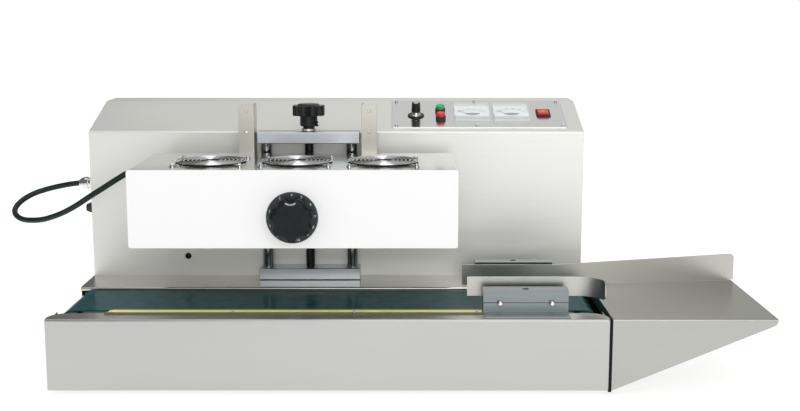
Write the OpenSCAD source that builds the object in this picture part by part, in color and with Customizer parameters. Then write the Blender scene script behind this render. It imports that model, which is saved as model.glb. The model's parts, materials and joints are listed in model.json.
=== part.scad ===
// Tabletop induction cap sealer.
// A belt runs under a sealing head that hangs on a screw lift, with a control cabinet
// behind the belt and an infeed table at the right end.
// Sizes are in millimetres. Inside the modules x runs from the left end of the base,
// y from its front panel and z from the floor; at_origin() then puts the origin at the
// bottom centre of the whole machine.

/* [Base] */
// Length of the base tray and of the cabinet on it
base_l = 860; // [840:1:900]
// Depth from the front panel to the cabinet's rear edge
base_d = 520; // [510:1:560]
// Height of the tray from its underside to its lip
base_h = 113; // [108:1:122]
// Thickness of the folded stainless sheet
sheet = 1.5; // [1.2:0.1:1.8]
// Depth of the flat lip along the front edge
lip_d = 38; // [36:0.5:40]
// Plan radius of the lip's two rear corners
lip_corner_r = 28; // [18:1:32]
// Outside radius of the folded edges
fold_r = 4; // [3:0.5:5]
// Height of the rubber feet
foot_h = 8; // [6:1:12]
// Diameter of the rubber feet
foot_d = 32; // [24:1:40]

/* [Conveyor] */
// Width of the belt
belt_w = 140; // [132:1:146]
// Thickness of the belt
belt_t = 2; // [1.5:0.1:2.5]
// Distance from the front panel to the belt's front edge
belt_y = 71; // [70:1:76]
// Depth of the belt's top below the lip
belt_drop = 4; // [3:0.5:5]
// Radius of the end rollers
roller_r = 22.7; // [20:0.1:25]
// Diameter of the roller shafts
shaft_d = 15; // [12:1:18]
// Thickness of the slider bed's plates
bed_t = 3; // [2:0.5:4]
// Length of the insulating strip beside the belt
strip_l = 584; // [540:1:584]
// Width of the insulating strip
strip_w = 26; // [22:1:30]
// Thickness of the insulating strip
strip_t = 2; // [1.5:0.5:3]

/* [Infeed table] */
// Length of the infeed table
table_l = 251.5; // [220:0.5:300]
// Depth of the infeed table
table_d = 270; // [240:1:300]
// Height of the infeed table's blunt tip
table_tip = 9; // [7:0.5:14]
// Width of the rubber joint between tray and table
joint_gap = 4.5; // [4:0.5:8]

/* [Cabinet] */
// Depth of the open deck between belt and cabinet
deck_gap = 93; // [91:1:100]
// Height of the cabinet's front wall
cab_h = 255; // [245:1:270]
// Depth of the sloping panel
slope_d = 139; // [136:1:144]
// Rise of the sloping panel
slope_rise = 43; // [38:1:48]
// Diameter of the chrome cable gland
gland_d = 22; // [18:1:26]
// Length of the chrome cable gland outside the wall
gland_l = 28; // [24:1:34]

/* [Control panel] */
// Width of the control panel plate
panel_w = 308; // [304:1:316]
// Height of the control panel plate along the slope
panel_h = 126; // [122:1:128]
// Distance from the cabinet's left end to the control panel
panel_x = 526; // [510:1:540]
// Width of a panel meter
meter_w = 64; // [58:1:66]
// Height of a panel meter
meter_h = 62; // [52:1:66]
// Diameter of the push buttons
button_d = 15; // [14:0.5:18]
// Travel of the push buttons
button_travel = 3; // [2:0.5:4]
// Width of the rocker switch frame
switch_w = 25; // [23:0.5:28]
// Height of the rocker switch frame
switch_h = 31; // [29:0.5:34]
// Diameter of the speed knob
speed_d = 16; // [14:0.5:20]
// Diameter of the black ring under the speed knob
ring_d = 29.5; // [26:0.5:34]

/* [Lift] */
// Distance from the base's left end to the lift screw
lift_x = 384; // [370:1:400]
// Length of the two lift bars
bar_l = 175; // [168:1:184]
// Depth of the two lift bars
bar_d = 38; // [34:1:42]
// Height of the two lift bars
bar_h = 20; // [16:1:24]
// Diameter of the guide posts
post_d = 18; // [14:1:20]
// Distance between the guide posts
post_pitch = 147; // [140:1:150]
// Diameter of the lift screw
screw_d = 16; // [14:1:20]
// Diameter of the star knob over its lobes
star_d = 57; // [50:1:62]
// Width of the hanger angles' front flanges
angle_w = 26.5; // [22:0.5:32]
// Thickness of the hanger angles
angle_t = 3; // [2:0.5:4]
// Length of the hanger angles
angle_l = 200; // [180:1:204]

/* [Sealing head] */
// Distance from the base's left end to the head
head_x = 122; // [110:1:130]
// Length of the head
head_l = 508; // [490:1:512]
// Depth of the head
head_d = 216; // [210:1:220]
// Height of the head
head_h = 121.5; // [118:0.5:130]
// Clear height from the belt to the head's lower edge
head_clear = 105; // [95:1:112]
// Distance between the fan centres
fan_pitch = 138; // [128:1:144]
// Side of a fan frame
fan_size = 119; // [116:0.5:120]
// Distance between a fan's screw holes
fan_holes = 105; // [104:0.5:107]
// Depth of a fan frame
fan_depth = 38; // [25:1:40]
// Diameter of the dial plate on the front
dial_d = 80; // [72:1:86]
// Diameter of the lobed dial knob
dial_knob_d = 68; // [60:1:70]

/* [Side guides] */
// Distance from the base's left end to the middle of the guide clamps
clamp_x = 735; // [733:1:750]
// Length of the guide clamps
clamp_l = 132; // [124:1:134]
// Depth of the guide clamps
clamp_d = 24; // [20:1:26]
// Diameter of the guide rods
rod_d = 8.5; // [7:0.5:10]
// Distance between the two rods of a guide
rod_pitch = 80; // [70:1:90]
// Thickness of the guide plates
guide_t = 2; // [1.5:0.5:2.5]
// Height of the front guide plate
front_guide_h = 31; // [26:1:36]
// Length of the front guide plate's straight part
front_guide_l = 170; // [160:1:180]
// Reach of the front guide plate's curved end
front_curl_l = 44; // [36:1:50]
// Distance by which the curved end comes forward
front_curl_d = 34; // [26:1:40]
// Length of the rear guide plate's straight part
rear_guide_l = 154; // [146:1:170]
// Length of the rear guide plate's turned-back part
rear_wing_l = 322; // [300:1:330]
// Angle of the rear guide plate's turned-back part
rear_wing_a = 8; // [5:0.5:9]

/* [Cable] */
// Diameter of the head's cable
cable_d = 9.5; // [8:0.5:10]

/* [Hidden] */
$fn = 48;

// Clearances
run_fit = 0.05;
seat_gap = 0.3;
over = 1;

// Levels above the floor
z_tray = foot_h;
z_lip = foot_h + base_h;
z_belt = z_lip - belt_drop;
z_bed = z_belt - belt_t;
z_floor = z_tray + sheet;

// Belt, rollers and bed
belt_in_r = roller_r + seat_gap;
belt_out_r = belt_in_r + belt_t;
belt_end_gap = 4;
drive_x = belt_out_r;
idler_x = base_l - belt_end_gap - belt_out_r;
z_axis = z_bed - belt_in_r;
belt_back = belt_y + belt_w;
belt_slack = 3;
deck_y = belt_back + 2;
front_cheek_y = belt_y - 4 - bed_t;
rear_cheek_y = deck_y + sheet;
cheek_end = 18;
bearing_t = 15;
bearing_size = 2 * cheek_end;
bed_inset = 0.75 * roller_r;
gearbox_l = 60;
gearbox_d = 42;
gearbox_h = 46;
gear_shaft_l = 25;
motor_d = 44;
motor_l = 110;

// Infeed table
table_x = base_l + joint_gap;
table_end = table_x + table_l;
table_slope = atan((base_h - table_tip) / table_l);
nose_r = 9;

// Cabinet and its slope
cab_y = deck_y + deck_gap;
z_fold = z_lip + cab_h;
z_top = z_fold + slope_rise;
slope_a = atan(slope_rise / slope_d);
slope_l = norm([slope_d, slope_rise]);
fold_t = fold_r * tan((90 - slope_a) / 2);
cover_inset = 4;
cover_flange = 14;
gland_y = cab_y + 34;
gland_rise = 160;
gland_z = z_lip + gland_rise;
mains_z = gland_z - 44;
mains_d = 18;
mains_l = 17;
stub_l = 8;
inverter_x = 80;
inverter_l = 300;
inverter_h = 90;
inverter_front = 45;
inverter_back = 32;
grommet_d = 9;
grommet_x = 167;
grommet_z = z_lip + 35;

// Control panel, measured along the slope from the panel's lower left corner
panel_t = 1.5;
panel_s = (slope_l - panel_h) / 2 + 6;
panel_screw_in = 8;
ring_p = [43, 53];
ring_h = 2;
green_p = [87, 75];
red_p = [87, 39];
meter_gap = 6;
meter_p = [for (i = [0, 1]) [143 + i * (meter_w + meter_gap), 64]];
switch_p = [271, 63];
meter_base_h = 2;
meter_cover_h = 6.5;
meter_wall = 1.6;
meter_can_d = 46;
meter_can_l = 28;
meter_hole_d = meter_can_d + 1;
mask_h = 17;
mask_z = 3.4;
mask_t = 1.2;
needle_l = 34;
needle_w = 1.2;
needle_hub_d = 6;
needle_hub_h = 2;
needle_gap = 0.5;
needle_swing = 90;
pivot_s = 12 - meter_h / 2;
pin_d = 2.4;
button_hole_d = button_d + 2;
bezel_rim = 1.4;
bezel_h = 6;
button_h = 12;
button_in = 6;
switch_rim = 2.5;
switch_hole = [switch_w - 3, switch_h - 3];
switch_frame_h = 2.5;
switch_body_l = 20;
switch_cavity = 10;
rocker_a = 10;
pot_can_d = 24;
pot_can_l = 12;
pot_bush_d = 10;
pot_bush_h = 8;
speed_h = 17;
speed_shaft_d = 6;

// Lift, carriage and hangers
bar_y = cab_y - bar_d;
post_y = cab_y - bar_d / 2;
top_bar_z = z_fold + 3 - bar_h;
journal_d = screw_d - 4;
star_neck_d = 20;
star_neck_h = 8.5;
star_hub_d = 30;
star_hub_h = 18;
star_head_h = 17.5;
star_dome_h = 3.5;
star_lobes = 8;
head_gap = 8;
hang_gap = 3.5;
hang_hole_up = [36, 72];
carriage_h = 70;
carriage_lift = 12;
carriage_clear = 4;
bar_edge = 4;
bar_reach = max(bar_l, post_pitch + post_d + 2 * bar_edge);
hang_in = bar_reach / 2 + hang_gap;

// Sealing head
head_back = bar_y - head_gap;
head_y = head_back - head_d;
head_z = z_belt + head_clear;
head_top = head_z + head_h;
head_mid = head_x + head_l / 2;
rim_d = 12;
coil_flange = 18;
coil_lip = 8;
coil_wall = 4;
coil_drop = 2.5;
coil_turns = 3;
coil_wire = 8;
fan_bore = fan_size - 6;
fan_in = 93.5;
fan_y = head_y + fan_in;
fan_x = [for (i = [-1, 0, 1]) head_mid + i * fan_pitch];
fan_top = head_top - sheet;
fan_post_d = 8;
fan_screw_d = 4.5;
fan_plate_t = 4;
hub_d = 46;
hub_h = 24;
blade_count = 7;
blade_t = 2;
blade_a = 38;
blade_gap = 2;
guard_wire = 2;
guard_rings = 7;
guard_step = 6.5;
guard_in_r = 17;
guard_lift = 1.2;
guard_bar_w = 4;
guard_bar_t = 1.6;
dial_x = head_mid - 1;
dial_z = head_z + 48;
dial_t = 3;
dial_knob_h = 25;
dial_lobes = 7;
dial_notch_r = 10;
dial_shaft_d = 10;
regulator_d = 54;
regulator_l = 40;
head_gland_l = 18;
head_gland_d = 20;
head_gland_in = 151;
head_gland_up = 99;
head_gland_p = [head_x, head_y + head_gland_in, head_z + head_gland_up];

// Side guides
clamp_y = lip_d - 4;
clamp_foot_d = 29;
clamp_foot_t = 3;
clamp_base_h = 17;
clamp_cap_h = 20;
clamp_split = 0.6;
clamp_hole_d = 5;
clamp_bore_d = 10;
clamp_bore_h = 8;
clamp_screw_d = 9;
clamp_screw_h = 6;
z_rod = z_lip + clamp_base_h + clamp_split / 2;
front_plate_y = belt_y + 4 - guide_t;
front_plate_x = clamp_x - clamp_l / 2 - 23;
front_plate_z = z_rod + 1.5;
front_rod_tip = 9;
front_curl_a = 2 * atan(front_curl_d / front_curl_l);
front_curl_r = front_curl_l / sin(front_curl_a);
tab_w = 22;
tab_h = 12;
rear_plate_y = deck_y + 9;
rear_plate_x = front_plate_x;
rear_clamp_y = rear_plate_y + guide_t + 16;
rear_rod_tip = 14;
rear_plate_z = z_lip + 1;
rear_low_h = 36;
rear_high_h = 46;
plate_corner_r = 8;

// Screws
screw_head_d = 7;
screw_head_h = 2.2;
small_head_d = 5.5;

// Cable route, machine coordinates, from the cabinet's gland to the head's gland
cable_route = [
    [-28, 340, 281], [-45, 340, 279], [-66, 340, 275], [-87, 337, 270], [-106, 331, 264],
    [-121, 321, 256], [-130, 308, 247], [-131, 294, 239], [-124, 281, 232], [-110, 269, 228],
    [-91, 259, 228], [-70, 250, 231], [-48, 241, 238], [-25, 233, 248], [-2, 225, 261],
    [21, 217, 276], [42, 210, 289], [61, 203, 301], [77, 198, 311], [90, 196, 318], [104, 195, 321]
];
cable_sides = 10;

// Overall reach and the shift to the origin
x_mid = (table_end - gland_l) / 2;
y_mid = base_d / 2;

// Colours
steel = "gainsboro";
bright = "whitesmoke";
alu = "lightgray";
black = [0.08, 0.08, 0.09];
rubber = [0.12, 0.12, 0.12];

// Helpers: placing and extruding
module at_origin() { translate([-x_mid, -y_mid, 0]) children(); }
module along_x(x, l) { translate([x, 0, 0]) rotate([90, 0, 90]) linear_extrude(l) children(); }
module along_y(y, l) { translate([0, y + l, 0]) rotate([90, 0, 0]) linear_extrude(l) children(); }
module block(p, size) { translate(p) cube(size); }
module rod_x(p, d, l) { translate(p) rotate([0, 90, 0]) cylinder(d = d, h = l); }
module rod_y(p, d, l) { translate(p) rotate([-90, 0, 0]) cylinder(d = d, h = l); }
module rod_z(p, d, l) { translate(p) cylinder(d = d, h = l); }
module plate(x, y, t, p) { translate([p.x - x / 2, p.y - y / 2, p.z]) cube([x, y, t]); }

// Places children on the slope: x along the cabinet, y up the slope, z out of it
module on_slope(x, s) {
    translate([x, cab_y + s * cos(slope_a), z_fold + s * sin(slope_a)])
        rotate([slope_a, 0, 0])
            children();
}

// Places children on the control panel's face at a point measured from its corner
module on_panel(p) {
    on_slope(panel_x + p.x, panel_s + p.y)
        translate([0, 0, panel_t])
            children();
}

// Rectangle with round corners
module rounded(w, h, r) {
    translate([r, 0]) square([w - 2 * r, h]);
    translate([0, r]) square([w, h - 2 * r]);
    for (x = [r, w - r], y = [r, h - r])
        translate([x, y]) circle(r);
}

// Rectangle whose upper front corner is round, as a folded sheet edge
module fold_section(w, h, r) {
    square([w, h - r]);
    translate([r, 0]) square([w - r, h]);
    translate([r, h - r]) circle(r);
}

// Pan-head screw standing on z = 0
module pan_screw(d) {
    rotate_extrude() {
        intersection() {
            square([d / 2, screw_head_h]);
            translate([0, screw_head_h - d * 0.72]) circle(d * 0.72);
        }
    }
}

// Front wall of the tray with its lip and the lip's short rear flange
module tray_front_section() {
    translate([0, z_tray]) difference() {
        fold_section(lip_d, base_h, fold_r);
        translate([sheet, -over]) fold_section(lip_d - 2 * sheet, base_h - sheet + over, fold_r - sheet);
        translate([lip_d - sheet - over, -over]) square([sheet + 2 * over, z_bed - z_tray + over]);
    }
}

// End wall of the tray, notched for the belt
module tray_end_section() {
    notch_z = z_axis - belt_out_r - belt_slack;
    notch_y = belt_y - belt_slack;
    difference() {
        translate([0, z_tray]) {
            fold_section(lip_d, base_h, fold_r);
            square([base_d, base_h - sheet]);
        }
        translate([notch_y, notch_z]) square([deck_y + 2 * sheet - notch_y, z_lip - notch_z + over]);
        translate([lip_d, z_bed]) square([belt_y - lip_d, z_lip - z_bed + over]);
    }
}

// Upright cutter that rounds a lip corner; side is 1 at the right end and -1 at the left
module lip_corner_cut(side) {
    r = lip_corner_r;
    x = side > 0 ? base_l - r : r;
    translate([x, lip_d - r, z_bed]) linear_extrude(belt_drop + belt_t + over) difference() {
        translate([side > 0 ? 0 : -r - over, 0]) square([r + over, r + over]);
        circle(r);
    }
}

module base_tray() {
    color(steel) at_origin() difference() {
        union() {
            along_x(0, base_l) tray_front_section();
            for (x = [0, base_l - sheet])
                along_x(x, sheet) tray_end_section();
            block([0, 0, z_tray], [base_l, base_d, sheet]);
            block([0, base_d - sheet, z_tray], [base_l, sheet, base_h - sheet]);
        }
        for (side = [-1, 1])
            lip_corner_cut(side);
    }
}

module rubber_feet() {
    foot_in = 60;
    color(rubber) at_origin()
        for (x = [foot_in, base_l / 2, base_l - foot_in], y = [foot_in, base_d - foot_in])
            translate([x, y, 0]) rotate_extrude() polygon([
                [0, 0], [foot_d / 2 - 3, 0], [foot_d / 2, foot_h], [0, foot_h]
            ]);
}

module rear_deck() {
    h = belt_drop + belt_t;
    color(steel) at_origin()
        along_x(0, base_l) translate([deck_y, z_bed]) difference() {
            fold_section(base_d - deck_y, h, 2 * sheet);
            translate([sheet, -over]) fold_section(base_d - deck_y, h - sheet + over, sheet);
        }
}

// Slider bed: a plate under the belt on two upright cheeks that carry the bearings
module belt_bed() {
    cheek_l = idler_x - drive_x + 2 * cheek_end;
    plate_x = drive_x + bed_inset;
    plate_l = idler_x - drive_x - 2 * bed_inset;
    plate_y = lip_d - sheet;
    depth = rear_cheek_y + bed_t - front_cheek_y;
    color("slategray") at_origin() difference() {
        union() {
            block([plate_x, plate_y, z_bed - bed_t], [plate_l, rear_cheek_y + bed_t - plate_y, bed_t]);
            for (y = [front_cheek_y, rear_cheek_y])
                block([drive_x - cheek_end, y, z_floor], [cheek_l, bed_t, z_bed - bed_t - z_floor]);
        }
        for (x = [drive_x, idler_x])
            rod_y([x, front_cheek_y - over, z_axis], shaft_d + 3, depth + 2 * over);
    }
}

module belt_loop(r) {
    for (x = [drive_x, idler_x])
        translate([x, z_axis]) circle(r);
    translate([drive_x, z_axis - r]) square([idler_x - drive_x, 2 * r]);
}

module conveyor_belt() {
    color([0.1, 0.24, 0.26]) at_origin() along_y(belt_y, belt_w) difference() {
        belt_loop(belt_out_r);
        belt_loop(belt_in_r);
    }
}

module bearing_blocks() {
    half = bearing_size / 2;
    color("dimgray") at_origin()
        for (x = [drive_x, idler_x], y = [front_cheek_y - bearing_t, rear_cheek_y + bed_t])
            difference() {
                block([x - half, y, z_axis - half], [bearing_size, bearing_t, bearing_size]);
                rod_y([x, y - over, z_axis], shaft_d + 2 * run_fit, bearing_t + 2 * over);
            }
}

// Right-angle gearmotor on a folded foot, its bore on the drive roller's shaft
module gearmotor() {
    y = rear_cheek_y + bed_t + bearing_t;
    x = drive_x - cheek_end;
    z = z_axis - gearbox_h / 2;
    leg = 6;
    color("darkslategray") at_origin() difference() {
        union() {
            block([x, y, z], [gearbox_l, gearbox_d, gearbox_h]);
            rod_x([x + gearbox_l - over, y + gearbox_d / 2, z_axis], motor_d, motor_l + over);
            for (lx = [x, x + gearbox_l - leg])
                block([lx, y, z_floor], [leg, gearbox_d, z - z_floor + over]);
        }
        rod_y([drive_x, y - over, z_axis], shaft_d + 2 * run_fit, gear_shaft_l + 2 + over);
    }
}

module roller(x, tail) {
    y0 = front_cheek_y - bearing_t;
    y1 = rear_cheek_y + bed_t + bearing_t + tail;
    drum_y = belt_y - 2;
    rod_y([x, y0, z_axis], shaft_d, y1 - y0);
    rod_y([x, drum_y, z_axis], 2 * roller_r, belt_back + 0.5 - drum_y);
}

module drive_roller() { color("gray") at_origin() roller(drive_x, gear_shaft_l); }

module idler_roller() { color("gray") at_origin() roller(idler_x, 0); }

module insulating_strip() {
    x1 = clamp_x - clamp_l / 2 - 1;
    x0 = x1 - strip_l;
    y0 = lip_d - 8;
    slant = 10;
    color([0.82, 0.8, 0.5]) at_origin()
        translate([0, 0, z_lip]) linear_extrude(strip_t) polygon([
            [x0, y0], [x1, y0], [x1, y0 + strip_w], [x0 + slant, y0 + strip_w]
        ]);
}

// Infeed table: a closed wedge of sheet whose end wall has a hand hole towards the tray
module infeed_table() {
    wall = sheet / cos(table_slope);
    window_in = 20;
    turn = 90 - table_slope;
    nose = [table_end - nose_r, z_lip - table_tip + nose_r * tan(turn / 2)];
    arc = [for (i = [0:6]) nose + nose_r * [cos(turn * i / 6), -sin(turn * i / 6)]];
    slope_z = z_lip - table_tip - nose_r * tan(table_slope) + wall;
    color(steel) at_origin() difference() {
        along_y(0, table_d)
            polygon(concat([[table_x, z_tray], [table_x, z_lip], [table_end, z_lip]], arc));
        along_y(sheet, table_d - 2 * sheet) polygon([
            [table_x + sheet, z_tray + sheet * tan(table_slope) + wall], [table_x + sheet, z_lip - sheet],
            [nose.x, z_lip - sheet], [nose.x, slope_z]
        ]);
        block(
            [table_x - over, window_in, z_tray + window_in],
            [sheet + 2 * over, table_d - 2 * window_in, base_h - 2 * window_in]
        );
    }
}

// Rubber joint: a U-shaped strip round the seam between tray and table
module joint_gasket() {
    strip = 12;
    lip_end = lip_d - lip_corner_r + 2;
    color(rubber) at_origin() difference() {
        block([base_l, 0, z_tray - 2], [joint_gap, table_d, base_h + 1]);
        block(
            [base_l - over, lip_end, z_tray + strip],
            [joint_gap + 2 * over, table_d - strip - lip_end, base_h]
        );
    }
}

// Outline of the cabinet from the side
module cabinet_section() {
    polygon([
        [cab_y, z_lip], [cab_y, z_fold - fold_t],
        [cab_y + fold_t * cos(slope_a), z_fold + fold_t * sin(slope_a)],
        [cab_y + slope_d, z_top], [base_d, z_top], [base_d, z_lip]
    ]);
    translate([cab_y + fold_r, z_fold - fold_t]) circle(fold_r);
}

// Space inside the cabinet, one sheet thickness within its outline
module cabinet_hollow() {
    t = sheet;
    low_z = z_fold - t * cos(slope_a) + t * (1 - sin(slope_a)) * tan(slope_a);
    run = (slope_rise - t + t * cos(slope_a)) / tan(slope_a);
    polygon([
        [cab_y + t, z_lip - over], [cab_y + t, low_z],
        [cab_y + t * sin(slope_a) + run, z_top - t],
        [base_d + over, z_top - t], [base_d + over, z_lip - over]
    ]);
}

// Flange inside the cabinet's rear edge that the rear cover is screwed to
module cover_flange_ring() {
    y = base_d - cover_inset - 2 * sheet;
    h = z_top - z_lip;
    difference() {
        block([sheet / 2, y, z_lip], [base_l - sheet, sheet, h - sheet / 2]);
        block(
            [sheet + cover_flange, y - over, z_lip - over],
            [base_l - 2 * sheet - 2 * cover_flange, sheet + 2 * over, h - sheet - cover_flange + over]
        );
    }
}

module cabinet_shell() {
    window_in = 14;
    color(bright) at_origin() difference() {
        union() {
            difference() {
                along_x(0, base_l) cabinet_section();
                along_x(sheet, base_l - 2 * sheet) cabinet_hollow();
            }
            cover_flange_ring();
        }
        on_slope(panel_x + window_in, panel_s + window_in)
            translate([0, 0, -5 * sheet])
                cube([panel_w - 2 * window_in, panel_h - 2 * window_in, 6 * sheet]);
        rod_x([-over, gland_y, gland_z], gland_d - 6, sheet + 2 * over);
        rod_x([-over, gland_y, mains_z], mains_d - 6, sheet + 2 * over);
        rod_y([grommet_x, cab_y - over, grommet_z], grommet_d - 2, sheet + 2 * over);
    }
}

// Rear cover with two fields of vent slots
module rear_cover() {
    w = base_l - 2 * sheet - 2 * seat_gap;
    h = z_top - sheet - seat_gap - z_lip;
    slot_w = 5;
    slot_h = 62;
    slot_count = 14;
    slot_step = 13;
    color(steel) at_origin() difference() {
        block([sheet + seat_gap, base_d - cover_inset - sheet, z_lip], [w, sheet, h]);
        for (field = [0.27, 0.73], row = [0, 1], i = [0:slot_count - 1])
            block(
                [base_l * field + (i - slot_count / 2) * slot_step, base_d - cover_inset - sheet - over,
                    z_lip + 70 + row * (slot_h + 24)],
                [slot_w, sheet + 2 * over, slot_h]
            );
    }
}

module control_panel() {
    color(alu) at_origin() on_slope(panel_x, panel_s) linear_extrude(panel_t) difference() {
        rounded(panel_w, panel_h, 3);
        translate(ring_p) circle(d = pot_bush_d);
        for (p = [green_p, red_p])
            translate(p) circle(d = button_hole_d);
        for (p = meter_p)
            translate(p) circle(d = meter_hole_d);
        translate(switch_p - switch_hole / 2) square(switch_hole);
    }
}

// Meter movement: can behind the panel, scale plate, needle post and the mask over it
module meter_body() {
    inner_w = meter_w - 2 * meter_wall - 2 * seat_gap;
    mask_s = meter_wall + seat_gap - meter_h / 2;
    translate([-meter_w / 2, -meter_h / 2, 0]) linear_extrude(meter_base_h) rounded(meter_w, meter_h, 3);
    rod_z([0, 0, -meter_can_l], meter_can_d, meter_can_l + over);
    rod_z([0, pivot_s, 0], pin_d, meter_base_h + 4);
    for (side = [-1, 1])
        block([side * (inner_w / 2 - 1.5) - 1.5, mask_s, meter_base_h - over], [3, mask_h, mask_z + over]);
    block([-inner_w / 2, mask_s, meter_base_h + mask_z], [inner_w, mask_h, mask_t]);
}

module meter_bodies() {
    color("white") at_origin()
        for (p = meter_p)
            on_panel(p) meter_body();
}

// Clear covers, open towards the scale plate
module meter_covers() {
    wall = meter_wall;
    color([0.9, 0.95, 1, 0.4]) at_origin()
        for (p = meter_p)
            on_panel(p) translate([-meter_w / 2, -meter_h / 2, meter_base_h]) difference() {
                linear_extrude(meter_cover_h) rounded(meter_w, meter_h, 3);
                translate([wall, wall, -over])
                    cube([meter_w - 2 * wall, meter_h - 2 * wall, meter_cover_h - wall + over]);
            }
}

// Needle at its zero, turned to the left
module needle(p) {
    tail = 6;
    t = 0.8;
    on_panel(p) translate([0, pivot_s, meter_base_h + needle_gap]) rotate(needle_swing / 2) difference() {
        union() {
            cylinder(d = needle_hub_d, h = needle_hub_h);
            block([-needle_w / 2, -tail, t], [needle_w, needle_l + tail, t]);
        }
        translate([0, 0, -over]) cylinder(d = pin_d + 2 * run_fit, h = needle_hub_h + 2 * over);
    }
}

module needle_left() { color(black) at_origin() needle(meter_p[0]); }

module needle_right() { color(black) at_origin() needle(meter_p[1]); }

// Bezel and guide sleeve of a push button, closed behind the button's travel
module button_bezels() {
    sleeve_d = button_hole_d - 4 * run_fit;
    floor_t = 3;
    edge = 0.6;
    bore_l = button_in + button_travel + edge;
    r = button_d / 2 + bezel_rim;
    color(black) at_origin()
        for (p = [green_p, red_p])
            on_panel(p) difference() {
                union() {
                    rotate_extrude() polygon([
                        [0, 0], [r, 0], [r, bezel_h - edge], [r - edge, bezel_h], [0, bezel_h]
                    ]);
                    rod_z([0, 0, -bore_l - floor_t], sleeve_d, bore_l + floor_t + over);
                }
                rod_z([0, 0, -bore_l], button_d + 2 * run_fit, bore_l + bezel_h + over);
            }
}

// Push button: a cap with an eased edge
module button_cap(p) {
    r = button_d / 2;
    edge = 1.2;
    on_panel(p) rotate_extrude() polygon([
        [0, -button_in], [r, -button_in], [r, button_h - edge], [r - edge, button_h], [0, button_h]
    ]);
}

module green_button() { color("green") at_origin() button_cap(green_p); }

module red_button() { color("firebrick") at_origin() button_cap(red_p); }

module switch_frame() {
    w = switch_w;
    h = switch_h;
    cut_w = w - 2 * switch_rim;
    cut_h = h - 2 * switch_rim;
    body = switch_hole - 0.4 * [1, 1];
    color(black) at_origin() on_panel(switch_p) difference() {
        union() {
            translate([-w / 2, -h / 2, 0]) linear_extrude(switch_frame_h) rounded(w, h, 2);
            plate(body.x, body.y, switch_body_l + over, [0, 0, -switch_body_l]);
        }
        plate(cut_w, cut_h, switch_cavity + switch_frame_h + over, [0, 0, -switch_cavity]);
    }
}

// Rocker paddle, resting with its upper half pressed in
module rocker() {
    w = switch_w - 2 * switch_rim - 2 * seat_gap;
    e = switch_h / 2 - switch_rim - 1;
    color("red") at_origin() on_panel(switch_p) translate([-w / 2, 0, 1]) rotate([-rocker_a, 0, 0])
        rotate([90, 0, 90]) linear_extrude(w) polygon([
            [-e, 4], [0, 2], [e, 4], [e - 0.6, -1], [0, -7], [0.6 - e, -1]
        ]);
}

module knob_ring() {
    color(black) at_origin() on_panel(ring_p) difference() {
        rotate_extrude() polygon([
            [0, 0], [ring_d / 2, 0], [ring_d / 2, ring_h - 0.8], [ring_d / 2 - 0.8, ring_h], [0, ring_h]
        ]);
        translate([0, 0, -over]) cylinder(d = pot_bush_d + 2 * run_fit, h = ring_h + 2 * over);
    }
}

// Potentiometer behind the panel with its bush through the panel and the ring
module speed_pot() {
    color("silver") at_origin() on_panel(ring_p) difference() {
        union() {
            rod_z([0, 0, -panel_t - pot_can_l], pot_can_d, pot_can_l);
            rod_z([0, 0, -panel_t - over], pot_bush_d - 2 * run_fit, panel_t + pot_bush_h + over);
        }
        rod_z([0, 0, -pot_can_l / 2], speed_shaft_d + 2 * run_fit, pot_can_l / 2 + pot_bush_h + over);
    }
}

// Speed knob with a pointer groove, on its shaft
module speed_knob() {
    z0 = pot_bush_h + seat_gap;
    r = speed_d / 2;
    color(black) at_origin() on_panel(ring_p) difference() {
        union() {
            rod_z([0, 0, 1 - pot_bush_h / 2], speed_shaft_d, z0 + pot_bush_h / 2);
            translate([0, 0, z0]) rotate_extrude() polygon([
                [0, 0], [r, 0], [r - 0.8, speed_h - 1], [r - 1.8, speed_h], [0, speed_h]
            ]);
        }
        block([-0.6, r - 3, z0 + 4], [1.2, 4, speed_h]);
    }
}

// Chrome gland: hexagon against the wall, collar and domed nut
module cable_gland() {
    hex_l = 7;
    collar_l = 5;
    r = gland_d / 2;
    dome_l = gland_l - hex_l - collar_l;
    color("silver") at_origin() translate([0, gland_y, gland_z]) rotate([0, -90, 0]) {
        cylinder(d = gland_d * 1.12, h = hex_l, $fn = 6);
        translate([0, 0, hex_l]) cylinder(d = gland_d - 3, h = collar_l);
        translate([0, 0, hex_l + collar_l]) rotate_extrude() polygon([
            [0, 0], [r, 0], [r, dome_l * 0.35], [r * 0.86, dome_l * 0.7],
            [cable_d / 2 + 1.2, dome_l], [0, dome_l]
        ]);
        translate([0, 0, -stub_l]) cylinder(d = gland_d - 6 - 2 * run_fit, h = stub_l);
    }
}

// Mains inlet gland with a blanked mouth
module mains_gland() {
    r = mains_d / 2;
    color(black) at_origin() translate([0, gland_y, mains_z]) rotate([0, -90, 0]) {
        rotate_extrude() polygon([
            [0, 0], [r + 1, 0], [r + 1, 4], [r, 5], [r, mains_l * 0.6], [r * 0.7, mains_l], [0, mains_l]
        ]);
        translate([0, 0, -stub_l]) cylinder(d = mains_d - 6 - 2 * run_fit, h = stub_l);
    }
}

module wall_grommet() {
    color(black) at_origin() translate([grommet_x, cab_y, grommet_z]) rotate([90, 0, 0]) difference() {
        union() {
            rotate_extrude() polygon([[0, 0], [grommet_d / 2 + 1, 0], [grommet_d / 2, 2], [0, 2]]);
            translate([0, 0, -sheet]) cylinder(d = grommet_d - 2 - 2 * run_fit, h = sheet);
        }
        translate([0, 0, -sheet - over]) cylinder(d = grommet_d - 5, h = sheet + 2 + 2 * over);
    }
}

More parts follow.
